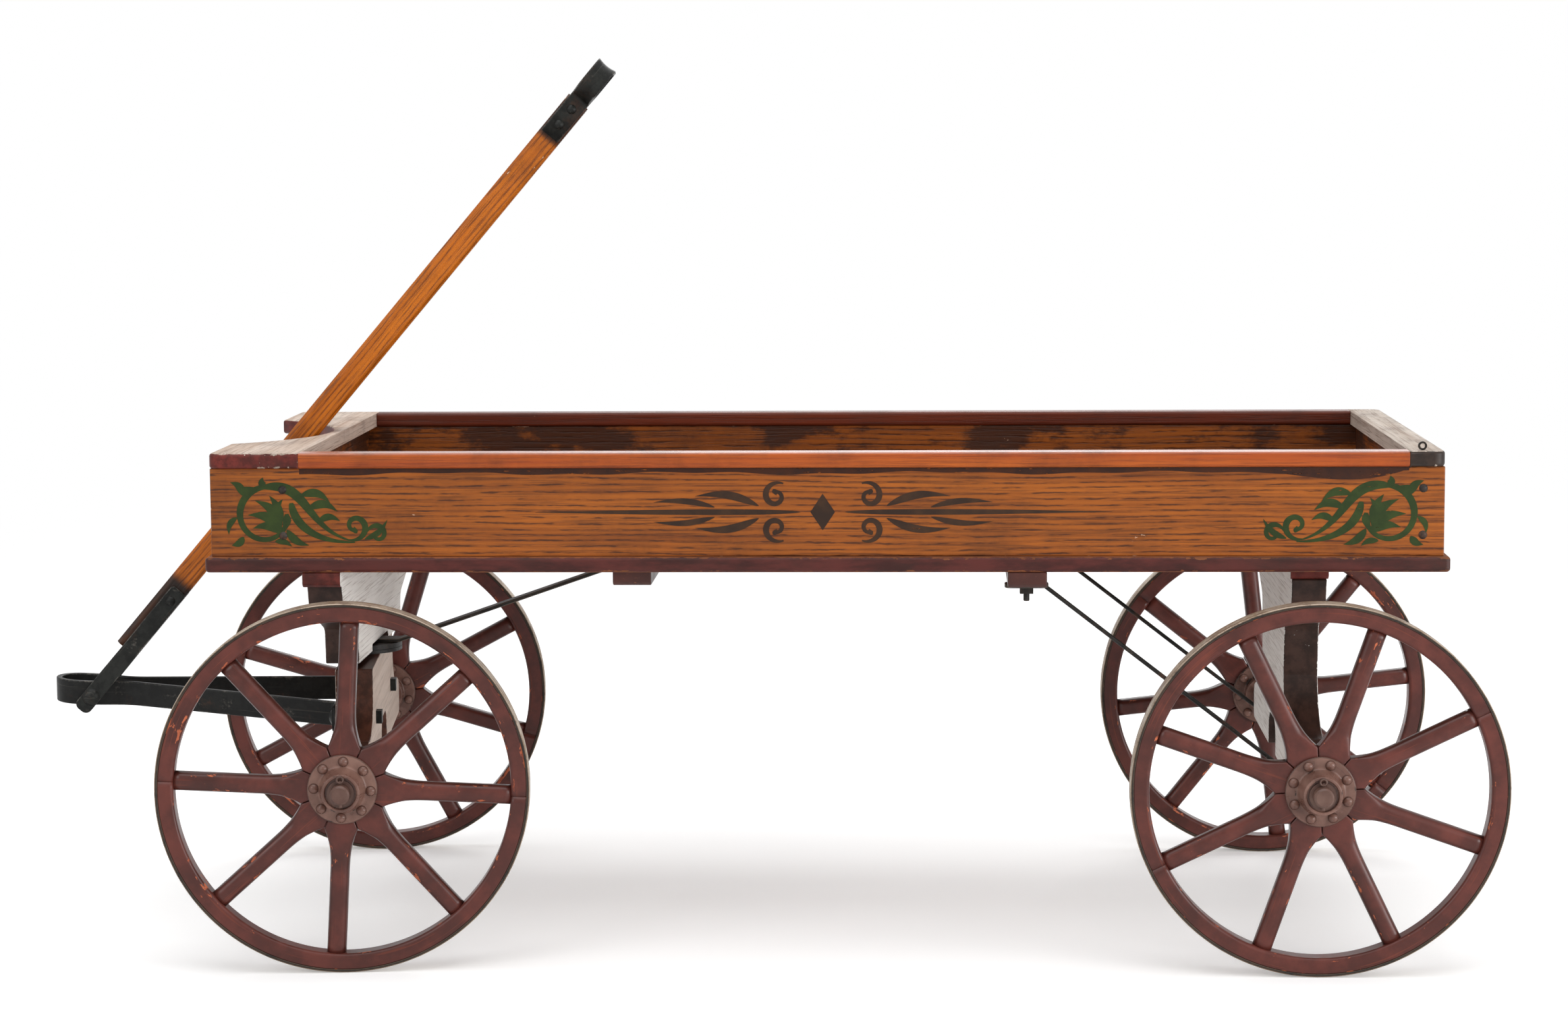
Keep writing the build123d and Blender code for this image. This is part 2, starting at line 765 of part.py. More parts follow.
# Wheel pieces, drawn once about the Z axis with the outer side up
with BuildPart() as tyre:
    with BuildSketch():
        Circle(wheel_radius)
        Circle(wheel_radius - tyre_thickness, mode=Mode.SUBTRACT)
    extrude(amount=tyre_width / 2, both=True)

with BuildPart() as felloe:
    with BuildSketch():
        Circle(wheel_radius - tyre_thickness)
        Circle(felloe_inner, mode=Mode.SUBTRACT)
    extrude(amount=felloe_width / 2, both=True)
    inner_rims = felloe.edges().filter_by(GeomType.CIRCLE).group_by(SortBy.RADIUS)[0]
    fillet(inner_rims, felloe_round)
    Box(2 * wheel_radius, felloe_cut, tyre_width, mode=Mode.SUBTRACT)

half_wedge = radians(180 / spokes)
foot_side = spoke_gap / 2 / cos(half_wedge)


def on_wedge(reach):
    """Return the point of a spoke foot's flank at a distance along the spoke."""
    return (reach, reach * sin(half_wedge) / cos(half_wedge) - foot_side)


flare_start = on_wedge(foot_reach * cos(half_wedge))
with BuildPart() as spoke:
    with BuildSketch() as outline:
        with BuildLine():
            Polyline((spoke_start, 0), on_wedge(spoke_start), flare_start)
            ThreePointArc(flare_start, flare_middle, (flare_end, spoke_half))
            Polyline((flare_end, spoke_half), (spoke_end, spoke_half), (spoke_end, 0), (spoke_start, 0))
        make_face()
        Circle(spoke_start, mode=Mode.SUBTRACT)
        mirror(about=Plane.XZ)
    extrude(amount=spoke_thickness / 2, both=True)
    flat_edges = spoke.faces().filter_by(Axis.Z).edges()
    outer_edges = flat_edges.filter_by(lambda edge: edge.center().X > foot_reach + edge_clear)
    fillet(outer_edges.filter_by(lambda edge: abs(edge.center().Y) > edge_clear), spoke_round)
    with BuildSketch():
        Circle(spoke_end)
    extrude(amount=spoke_thickness, both=True, mode=Mode.INTERSECT)
    with Locations((hub_rivet_circle, 0)):
        Hole(hub_rivet_shank + slack)

with BuildPart() as spoke_set:
    with PolarLocations(0, spokes):
        add(spoke.part)

flange_face = spoke_thickness / 2 + flange_thickness
with BuildPart() as hub_outer:
    with BuildSketch(Plane.XZ):
        with BuildLine():
            Polyline(
                (hub_bore, spoke_thickness / 2),
                (flange_radius, spoke_thickness / 2),
                (flange_radius, flange_face - flange_bevel),
                (flange_radius - flange_bevel, flange_face),
                (nose_root, flange_face),
                (nose_rim, nose_length),
                (nose_mouth, nose_length),
                (nose_mouth, cup_floor),
                (hub_bore, cup_floor),
                close=True,
            )
        make_face()
    revolve(axis=Axis.Z)
    with PolarLocations(hub_rivet_circle, spokes):
        Hole(hub_rivet_shank + slack)

with BuildPart() as hub_inner:
    with BuildSketch(Plane.XZ):
        with BuildLine():
            Polyline(
                (hub_bore, spoke_thickness / 2),
                (hub_barrel, spoke_thickness / 2),
                (hub_barrel, -spoke_thickness / 2),
                (flange_radius, -spoke_thickness / 2),
                (flange_radius, flange_bevel - flange_face),
                (flange_radius - flange_bevel, -flange_face),
                (inner_nose, -flange_face),
                (inner_nose, -inner_length),
                (hub_bore, -inner_length),
                close=True,
            )
        make_face()
    revolve(axis=Axis.Z)
    with PolarLocations(hub_rivet_circle, spokes):
        Hole(hub_rivet_shank + slack)

with BuildPart() as hub_rivets:
    with PolarLocations(hub_rivet_circle, spokes):
        add(rivet(hub_rivet_shank, flange_face, hub_rivet_head, hub_rivet_dome))

# Four wheels, each turned to its own angle on its axle
wheel_pieces = {
    "tyre": tyre,
    "felloe": felloe,
    "spokes": spoke_set,
    "hub_outer": hub_outer,
    "hub_inner": hub_inner,
    "hub_rivets": hub_rivets,
}
wheels = (
    ("front_left_wheel", in_frame(gear, (0, -track / 2, axle_z), (1, 0, 0), (0, -1, 0)), -3.3),
    ("front_right_wheel", in_frame(gear, (0, track / 2, axle_z), (1, 0, 0), (0, 1, 0)), 17.2),
    ("rear_left_wheel", Plane((rear_axle_x, -track / 2, axle_z), (1, 0, 0), (0, -1, 0)), 25.8),
    ("rear_right_wheel", Plane((rear_axle_x, track / 2, axle_z), (1, 0, 0), (0, 1, 0)), 38.5),
)
for wheel_name, wheel_plane, turn in wheels:
    for piece_name, piece in wheel_pieces.items():
        with BuildPart(wheel_plane) as fitted:
            with PolarLocations(0, 1, start_angle=turn):
                add(piece.part)
        keep(fitted, f"{wheel_name}_{piece_name}")
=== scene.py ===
"""Dresses a wooden coaster wagon: finer timber, ironwork and wheels over its frame, worn finishes, a studio.

Sizes are in millimetres and degrees until a mesh is made; only that step turns them into metres. The wagon's
front is at -X, its left side at -Y, and the ground is Z = 0, as in the frame.
"""

import json
import logging
import math
from dataclasses import dataclass, field, replace
from enum import Enum
from functools import cache, cached_property
from typing import Callable, ClassVar, Optional, Sequence, Union

import bmesh
import bpy
import numpy as np
from bpy.types import ID, Material, Mesh, Node, NodeSocket, NodeTree, Object, World
from mathutils import Matrix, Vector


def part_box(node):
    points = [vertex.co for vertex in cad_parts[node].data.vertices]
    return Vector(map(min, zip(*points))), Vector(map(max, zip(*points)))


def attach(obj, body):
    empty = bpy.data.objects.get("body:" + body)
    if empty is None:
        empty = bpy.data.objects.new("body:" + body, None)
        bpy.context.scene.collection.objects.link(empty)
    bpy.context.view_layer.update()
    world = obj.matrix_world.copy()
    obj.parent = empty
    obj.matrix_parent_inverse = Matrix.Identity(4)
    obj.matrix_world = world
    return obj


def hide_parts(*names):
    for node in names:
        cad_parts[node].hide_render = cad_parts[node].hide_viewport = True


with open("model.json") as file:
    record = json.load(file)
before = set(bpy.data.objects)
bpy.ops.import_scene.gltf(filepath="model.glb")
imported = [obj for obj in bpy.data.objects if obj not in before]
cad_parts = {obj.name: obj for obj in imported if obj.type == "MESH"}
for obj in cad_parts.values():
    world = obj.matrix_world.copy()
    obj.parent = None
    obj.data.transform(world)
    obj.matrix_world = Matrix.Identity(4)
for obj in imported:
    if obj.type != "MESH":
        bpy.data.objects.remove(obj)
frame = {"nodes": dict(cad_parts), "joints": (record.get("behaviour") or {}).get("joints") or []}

LOG = logging.getLogger("coaster_wagon")
Array = np.ndarray
Colour = tuple[float, float, float]
Point = tuple[float, float]
Sizes = tuple[float, ...]
Number = Union["Value", float]
MM = 0.001
# Rounds: steps of each, the flat kept beside one, and the turn in radians from which a corner gets that flat.
ARC_STEPS = 5
SUPPORT = 0.35
GENTLE_TURN = 0.3
# Points closer than this are one, and points within the other distance of an edge count as on it.
SAME_PLACE = 1e-5
NEAR_EDGE = 0.8
# One less the cosine of 45 degrees, where a rounded edge is worn most.
HALF_TURNED = 0.29
# A dome's sunk collar as a share of its radius, and the angle that counts as a whole turn.
COLLAR_SHARE = 0.08
WHOLE_TURN = 359.9
# A piece's grain is moved by a number of steps below the second value, so that like boards differ.
GRAIN_STEP = 31.0
GRAIN_PLACES = 89
UP = np.array((0.0, 0.0, 1.0))
SIDES = ((-1.0, "left"), (1.0, "right"))


def unit(vectors: Array) -> Array:
    """Return vectors along the last axis at length one, and zero vectors as they are."""
    length = np.linalg.norm(vectors, axis=-1, keepdims=True)
    return vectors / np.where(length < 1e-12, 1.0, length)


def box(node: str) -> tuple[Array, Array]:
    """Return the lowest and highest corner of a frame node in millimetres."""
    low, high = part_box(node)
    return np.array(low) / MM, np.array(high) / MM


def joint(name: str) -> tuple[Array, Array]:
    """Return the place in millimetres and the axis of one of the frame's joints."""
    found = next(row for row in frame["joints"] if row["name"] == name)
    return np.array(found["pos_m"]) / MM, unit(np.array(found["axis"], float))


def axle_end(wheel: str) -> tuple[Array, Array, Array]:
    """Return a wheel's place, its joint's axis, and the way out of the wagon along that axis."""
    place, along = joint(wheel + "_spin")
    return place, along, -along if "left" in wheel else along


@dataclass(frozen=True)
class Axes:
    """A set of local axes in the wagon's frame."""

    origin: Array
    x: Array
    y: Array
    z: Array

    def place(self, local: Array) -> Array:
        """Turn local places into places in the wagon's frame."""
        return self.origin + local @ np.stack([self.x, self.y, self.z])

    def at(self, x: float, y: float, z: float) -> Array:
        """Return one local place in the wagon's frame."""
        return self.place(np.array((x, y, z), float))

    def moved(self, x: float, y: float, z: float) -> "Axes":
        """Return the same axes from another origin, given as a local place."""
        return replace(self, origin=self.at(x, y, z))


WORLD = Axes(np.zeros(3), *np.eye(3))
ACROSS = Axes(np.zeros(3), WORLD.y, UP, WORLD.x)
ALONG = Axes(np.zeros(3), WORLD.x, UP, -WORLD.y)


class Grain(Enum):
    """The local axis that a piece's grain runs along, as the order of its coordinates."""

    X = (0, 1, 2)
    Y = (1, 0, 2)
    Z = (2, 0, 1)


def grid_faces(rows: int, columns: int, wrap_rows: bool = False, wrap_columns: bool = False) -> Array:
    """Number the quads of a grid of points that is stored row by row.

    Args:
        rows: Points along the first parameter.
        columns: Points along the second parameter.
        wrap_rows: Whether the last row joins the first.
        wrap_columns: Whether the last column joins the first.

    Returns:
        Corner numbers, four to a row.
    """
    numbers = np.arange(rows * columns).reshape(rows, columns)
    numbers = np.pad(numbers, ((0, int(wrap_rows)), (0, int(wrap_columns))), "wrap")
    corners = (numbers[:-1, :-1], numbers[1:, :-1], numbers[1:, 1:], numbers[:-1, 1:])
    return np.stack(corners, axis=-1).reshape(-1, 4)


@dataclass
class Surface:
    """A mesh being worked out, in millimetres.

    Attributes:
        points: Vertex places, one row each.
        edge: 1 on rounded arrises, which wear first, and 0 on flats.
        zone: 0 on the underside, 0.5 on the rim and 1 on the top of a piece, unless the piece says otherwise.
        grain: Places along the grain, then the two across it.
        quads: Corner numbers, four to a row.
        caps: Flat many-sided faces, as lists of corner numbers.
    """

    points: Array
    edge: Array
    zone: Array
    grain: Array
    quads: Array
    caps: list[list[int]] = field(default_factory=list)

    @classmethod
    def grid(
        cls,
        points: Array,
        edge: Union[Array, float],
        zone: Union[Array, float],
        grain: Array,
        wraps: tuple[bool, bool] = (False, True),
        ends: bool = True,
    ) -> "Surface":
        """Make a surface of a grid of points.

        Args:
            points: Places by row and column.
            edge: Wear, spread to all the points.
            zone: Zone, spread to all the points.
            grain: Grain places by row and column.
            wraps: Whether the last row joins the first, and the last column the first.
            ends: Whether flat faces close the first and the last row.

        Returns:
            The surface.
        """
        rows, columns = points.shape[:2]
        numbers = np.arange(rows * columns).reshape(rows, columns)
        spread = [np.broadcast_to(values, (rows, columns)).ravel() for values in (edge, zone)]
        caps = [numbers[0, ::-1].tolist(), numbers[-1].tolist()] if ends else []
        quads = grid_faces(rows, columns, *wraps)
        return cls(points.reshape(-1, 3), *spread, grain.reshape(-1, 3), quads, caps)

    def placed(self, axes: Axes) -> "Surface":
        """Return the surface carried from local axes into the wagon's frame."""
        return replace(self, points=axes.place(self.points))

    def other_timber(self, shift: float) -> "Surface":
        """Return the surface with its grain taken from another part of the timber."""
        return replace(self, grain=self.grain + np.array((shift, shift * 0.37, shift * 0.61)))

    @classmethod
    def joined(cls, parts: Sequence["Surface"]) -> "Surface":
        """Put several surfaces into one.

        Args:
            parts: The surfaces, in order.

        Returns:
            One surface with all their faces.
        """
        starts = np.cumsum([0] + [len(part.points) for part in parts]).tolist()
        pairs = list(zip(parts, starts))
        names = ("points", "edge", "zone", "grain")
        values = [np.concatenate([getattr(part, name) for part in parts]) for name in names]
        quads = np.concatenate([part.quads + start for part, start in pairs])
        caps = [[corner + start for corner in cap] for part, start in pairs for cap in part.caps]
        return cls(*values, quads, caps)

    def welded(self) -> tuple["Surface", list[list[int]]]:
        """Merge corners that fall together, and turn quads that lose a corner into triangles.

        Returns:
            The merged surface, and all its faces as lists of corner numbers.
        """
        keys = np.round(self.points, 4)
        _, first, merged = np.unique(keys, axis=0, return_index=True, return_inverse=True)
        merged = merged.reshape(-1)
        edge = np.zeros(len(first))
        np.maximum.at(edge, merged, self.edge)
        quads = merged[self.quads]
        same = quads == np.roll(quads, -1, axis=1)
        whole = quads[~same.any(axis=1)]
        pinched = same.sum(axis=1) == 1
        triangles = quads[pinched][~same[pinched]].reshape(-1, 3)
        caps = [list(dict.fromkeys(merged[np.array(cap)].tolist())) for cap in self.caps]
        kept = Surface(self.points[first], edge, self.zone[first], self.grain[first], whole)
        return kept, whole.tolist() + triangles.tolist() + caps


def rounded(
    corners: Sequence[Sequence[float]],
    radii: Union[float, Sequence[float]],
    closed: bool = True,
    steps: int = ARC_STEPS,
) -> tuple[Array, Array]:
    """Round the corners of a flat line.

    A corner becomes the arc that touches both its sides, with its centre on the corner's bisector,
    radius / sin(half the angle) away. A support point beside each end of an arc keeps the shading of straight
    sides flat, but for gentle turns, as between the points of a curve.

    Args:
        corners: The line's corners.
        radii: One radius, or one for each corner.
        closed: Whether the last corner joins the first; the ends of an open line stay sharp.
        steps: Chords in each arc.

    Returns:
        The points, and the bend of each: 1 on arcs that turn left, -1 on arcs that turn right, 0 elsewhere.
    """
    points = np.array(corners, float)
    radius = np.broadcast_to(np.array(radii, float), (len(points),)).copy()
    if not closed:
        radius[[0, -1]] = 0.0
    back = unit(np.roll(points, 1, axis=0) - points)
    ahead = unit(np.roll(points, -1, axis=0) - points)
    half = np.maximum(0.5 * np.arccos(np.clip((back * ahead).sum(axis=1), -1.0, 1.0)), 1e-4)
    turn = (np.pi - 2.0 * half)[:, None, None]
    start, finish = (points + way * (radius / np.tan(half))[:, None] for way in (back, ahead))
    centre = (points + unit(back + ahead) * (radius / np.sin(half))[:, None])[:, None]
    share = np.linspace(0.0, 1.0, steps + 1)[None, :, None]
    sine = np.maximum(np.sin(turn), 1e-9)
    first, last = (np.sin(part * turn) / sine for part in (1.0 - share, share))
    arcs = centre + first * (start[:, None] - centre) + last * (finish[:, None] - centre)
    arcs = np.where(turn < 1e-6, points[:, None], arcs)
    lead = np.where(turn[:, 0] > GENTLE_TURN, SUPPORT, 0.0)
    line = np.concatenate([(start + back * lead)[:, None], arcs, (finish + ahead * lead)[:, None]], axis=1)
    bend = np.zeros(line.shape[:2])
    bend[:, 1:-1] = np.sign(back[:, 1] * ahead[:, 0] - back[:, 0] * ahead[:, 1])[:, None]
    if not closed:
        line[[0, -1]] = points[[0, -1], None]
        bend[[0, -1]] = 0.0
    line, bend = line.reshape(-1, 2), bend.reshape(-1)
    apart = np.linalg.norm(line - np.roll(line, 1, axis=0), axis=1) > SAME_PLACE
    apart[0] |= not closed
    return line[apart], bend[apart]


def rectangle(low: Sequence[float], high: Sequence[float]) -> list[Point]:
    """Return the corners of an upright rectangle, counter-clockwise from its lowest."""
    return [(low[0], low[1]), (high[0], low[1]), (high[0], high[1]), (low[0], high[1])]


def mirrored(half: Sequence[Point], radii: Sequence[float], axis: int) -> tuple[Array, list[float]]:
    """Return corners, then their mirror images along an axis in reverse order, and the radii of all."""
    sign = np.where(np.arange(2) == axis, -1.0, 1.0)
    return np.concatenate([half, np.array(half, float)[::-1] * sign]), [*radii, *radii[::-1]]


def arc(centre: Sequence[float], radius: float, start: float, finish: float, count: int) -> Array:
    """Return points spread evenly along a circular arc between two angles in degrees."""
    angle = np.radians(np.linspace(start, finish, count))
    return np.stack([centre[0] + radius * np.cos(angle), centre[1] + radius * np.sin(angle)], axis=1)


def arc_through(ends: Sequence[Point], count: int) -> Array:
    """Return points on the circle through three points, from the first to the last.

    The centre is as far from all three, which gives one linear equation for each of two pairs of points.

    Args:
        ends: First point, a point between, and last point.
        count: How many points to return, both ends among them.

    Returns:
        The points.
    """
    first, between, last = np.array(ends, float)
    rows = 2.0 * np.stack([between - first, last - first])
    centre = np.linalg.solve(rows, np.array([between @ between - first @ first, last @ last - first @ first]))
    radius = float(np.linalg.norm(first - centre))
    begin, end = (math.degrees(math.atan2(*(point - centre)[::-1])) for point in (first, last))
    turn = (end - begin + 180.0) % 360.0 - 180.0
    return arc(centre, radius, begin, begin + turn, count)


def line_normals(points: Array, closed: bool) -> Array:
    """Return the right-hand normals of a flat line, lengthened at corners so that offsets keep their width.

    Args:
        points: The line's points.
        closed: Whether the last point joins the first.

    Returns:
        One normal for each point: the mean of its two sides' normals over the cosine of half the turn.
    """
    after = unit(np.roll(points, -1, axis=0) - points)
    before = np.roll(after, 1, axis=0)
    if not closed:
        after[-1] = before[-1]
        before[0] = after[0]
    mean = unit(before + after)
    cosine = np.maximum((mean * after).sum(axis=1), 0.4)
    return np.stack([mean[:, 1], -mean[:, 0]], axis=1) / cosine[:, None]


def slab(low: Array, high: Array, radius: float, grain: Grain, top: Array) -> Surface:
    """Make a box with rounded edges.

    Every face is a grid. A point is held back into the box shrunk by the radius, and then set off by the
    radius towards where it was, so edges turn into quarter rounds and corners into eighths of a ball.

    Args:
        low: Lowest corner.
        high: Highest corner.
        radius: Radius of the edges.
        grain: Direction of the grain.
        top: Direction that counts as the top of the piece.

    Returns:
        The closed surface.
    """
    lean = radius * np.tan(np.linspace(np.pi / 4, 0.0, ARC_STEPS + 1))
    share = np.linspace(0.0, 1.0, 9)
    lines = []
    for first, last in zip(low + radius, high - radius):
        flat = first + SUPPORT + share * max(last - first - 2 * SUPPORT, 0.0)
        lines.append(np.concatenate([first - lean, flat, (last + lean)[::-1]]))
    parts = []
    for axis in range(3):
        first, second = (axis + 1) % 3, (axis + 2) % 3
        grid = np.meshgrid(lines[first], lines[second], indexing="ij")
        for level in (low[axis], high[axis]):
            raw = np.empty((*grid[0].shape, 3))
            raw[..., axis], raw[..., first], raw[..., second] = level, *grid
            core = np.clip(raw, low + radius, high - radius)
            away = unit(raw - core)
            placed = core + radius * away
            edge = np.clip((1.0 - np.abs(away).max(axis=-1)) / HALF_TURNED, 0.0, 1.0)
            values = (edge, 0.5 + 0.5 * away @ top, placed[..., grain.value])
            parts.append(Surface.grid(placed, *values, (False, False), ends=False))
    return Surface.joined(parts)


def plate(
    outline: Array,
    bend: Array,
    low: float,
    high: float,
    radius: float,
    grain: Grain,
    share: Optional[Array] = None,
) -> Surface:
    """Make a flat piece of any outline with rounded edges, standing on its local XY plane.

    Each level of the rim has the height and the inset of a place on a quarter round there:
    point(i, j) = outline_j - inset_i * normal_j. Two flat faces close it.

    Args:
        outline: Closed line, counter-clockwise.
        bend: The outline's bend at each point.
        low: Height of the lower face.
        high: Height of the upper face.
        radius: Radius of the edges.
        grain: Direction of the grain.
        share: Part of the radius used at each point of the outline.

    Returns:
        The closed surface, in local axes.
    """
    size = radius * (np.ones(len(outline)) if share is None else share)
    angle = np.linspace(np.pi / 2, 0.0, ARC_STEPS + 1)
    far = 1.0 + SUPPORT / radius
    inset = np.concatenate([[far], 1.0 - np.cos(angle), [0.0]])[:, None] * size
    rise = np.concatenate([[0.0], 1.0 - np.sin(angle), [far]])[:, None] * size
    wear = np.concatenate([[0.0], np.sin(2.0 * angle), [0.0]])
    slope = np.concatenate([[0.0], 0.5 - 0.5 * np.sin(angle), [0.5]])
    flat = outline - inset[..., None] * line_normals(outline, closed=True)
    points = np.concatenate([np.dstack([flat, low + rise]), np.dstack([flat, high - rise])[::-1]])
    edge = np.maximum(np.concatenate([wear, wear[::-1]])[:, None], 0.6 * np.clip(bend, 0.0, 1.0))
    zone = np.concatenate([slope, 1.0 - slope[::-1]])[:, None]
    return Surface.grid(points, edge, zone, points[..., grain.value])


def lathe(
    profile: Array,
    bend: Array,
    count: int = 96,
    closed: bool = False,
    start: float = 0.0,
    finish: float = 360.0,
) -> Surface:
    """Turn a profile about the local Z axis: point(i, j) = (r_j cos a_i, r_j sin a_i, z_j).

    Args:
        profile: Rows of distance from the axis and height along it.
        bend: The profile's bend at each point.
        count: Angles around the axis.
        closed: Whether the profile's last point joins its first.
        start: First angle in degrees.
        finish: Last angle; less than a whole turn leaves two flat ends.

    Returns:
        The surface in local axes, with the outer rim as zone 1.
    """
    whole = finish - start > WHOLE_TURN
    angle = np.radians(np.linspace(start, finish, count, endpoint=not whole))[:, None]
    reach, height = (np.broadcast_to(row, (count, len(profile))) for row in profile.T)
    points = np.dstack([np.cos(angle) * reach, np.sin(angle) * reach, height])
    widest = reach.max()
    grain = np.dstack([np.broadcast_to(angle * widest, reach.shape), reach, height])
    zone = 1.0 * (reach > widest - NEAR_EDGE)
    return Surface.grid(points, np.abs(bend), zone, grain, (whole, closed), not whole)


def strip(path: Array, section: Array, bend: Array, axes: Axes) -> Surface:
    """Carry a section along a flat path: point(i, j) = path_i + section_j.x * normal_i + section_j.y * z.

    Args:
        path: Open line in the local XY plane.
        section: Closed line; its first coordinate lies along the path's normal, its second along local Z.
        bend: The section's bend at each point.
        axes: Local axes.

    Returns:
        The surface in the wagon's frame.
    """
    flat = path[:, None] + section[None, :, :1] * line_normals(path, closed=False)[:, None]
    across, rise = (np.broadcast_to(row, flat.shape[:2]) for row in section.T)
    steps = np.linalg.norm(np.diff(path, axis=0), axis=1)
    run = np.broadcast_to(np.concatenate([[0.0], np.cumsum(steps)])[:, None], flat.shape[:2])
    points = axes.place(np.dstack([flat, rise]))
    return Surface.grid(points, np.abs(bend), 0.5, np.dstack([run, across, rise]))


def bar_section(thickness: float, width: float, radius: float) -> tuple[Array, Array]:
    """Return the rounded rectangle that is the section of a flat bar, and its bend."""
    half = np.array((thickness, width)) / 2
    return rounded(rectangle(-half, half), radius, steps=4)


def rod_section(radius: float) -> tuple[Array, Array]:
    """Return the circle that is the section of a round rod, and its bend of zero."""
    points = arc((0.0, 0.0), radius, 0.0, 345.0, 24)
    return points, np.zeros(len(points))


def dome(radius: float, height: float, axes: Axes, count: int = 28) -> Surface:
    """Make a rivet or screw head, part of a ball that stands on local Z = 0.

    The profile is an arc of the ball through the rim at (radius, 0) and the crown at (0, height); a short
    collar under the rim seats it.

    Args:
        radius: Radius of the rim.
        height: Height of the crown.
        axes: Local axes; the head points along Z.
        count: Angles around it.

    Returns:
        The closed surface in the wagon's frame.
    """
    ball = (radius**2 + height**2) / (2.0 * height)
    sweep = math.degrees(math.asin(min(radius / ball, 1.0)))
    crown = arc((0.0, height - ball), ball, 90.0, 90.0 - sweep, 9)
    collar = COLLAR_SHARE * radius
    profile = np.concatenate([crown, [(radius, -collar), (0.0, -collar)]])
    wear = np.concatenate([np.linspace(1.0, 0.1, len(crown)), [0.0, 0.0]])
    return lathe(profile, wear, count).placed(axes)


class Coordinates(Enum):
    """Where a finish takes its pattern's coordinates from, as the ending of its material's name."""

    OWN = ""
    OBJECT = "_on_frame"


def srgb(red: int, green: int, blue: int) -> Colour:
    """Return the linear colour of an 8-bit screen colour."""
    value = np.array((red, green, blue)) / 255.0
    return tuple(np.where(value <= 0.04045, value / 12.92, ((value + 0.055) / 1.055) ** 2.4).tolist())


def shade(colour: Colour, factor: float) -> Colour:
    """Return a linear colour made darker or lighter by a factor."""
    return tuple(min(part * factor, 1.0) for part in colour)


class Value:
    """A value in a shader tree; arithmetic written with it adds Math nodes to that tree."""

    def __init__(self, graph: "Graph", socket: NodeSocket) -> None:
        """Keep the tree's graph and the output that gives the value."""
        self.graph = graph
        self.socket = socket

    def __add__(self, other: Number) -> "Value":
        """Return the sum."""
        return self.graph.math("ADD", self, other)

    def __sub__(self, other: Number) -> "Value":
        """Return the difference."""
        return self.graph.math("SUBTRACT", self, other)

    def __rsub__(self, other: float) -> "Value":
        """Return what is left of a number without the value."""
        return self.graph.math("SUBTRACT", other, self)

    def __mul__(self, other: Number) -> "Value":
        """Return the product."""
        return self.graph.math("MULTIPLY", self, other)

    def __or__(self, other: Number) -> "Value":
        """Return the larger of the two."""
        return self.graph.math("MAXIMUM", self, other)

    def held(self) -> "Value":
        """Hold the result of the last Math node between 0 and 1."""
        self.socket.node.use_clamp = True
        return self

    def step(self, start: Number, finish: Number) -> "Value":
        """Return a smooth 0 to 1 step of the value between two levels."""
        feeds = {"Value": self, "From Min": start, "From Max": finish}
        return self.graph.value("ShaderNodeMapRange", feeds, interpolation_type="SMOOTHSTEP")

    def span(self, low: float, high: float) -> "Value":
        """Return a 0 to 1 value spread between two numbers."""
        return self.graph.value("ShaderNodeMapRange", {"Value": self, "To Min": low, "To Max": high})

    def mix(self, share: Number, other: object) -> "Value":
        """Return a colour mixed from this one to another by a share."""
        return self.graph.blend(share, self, other)


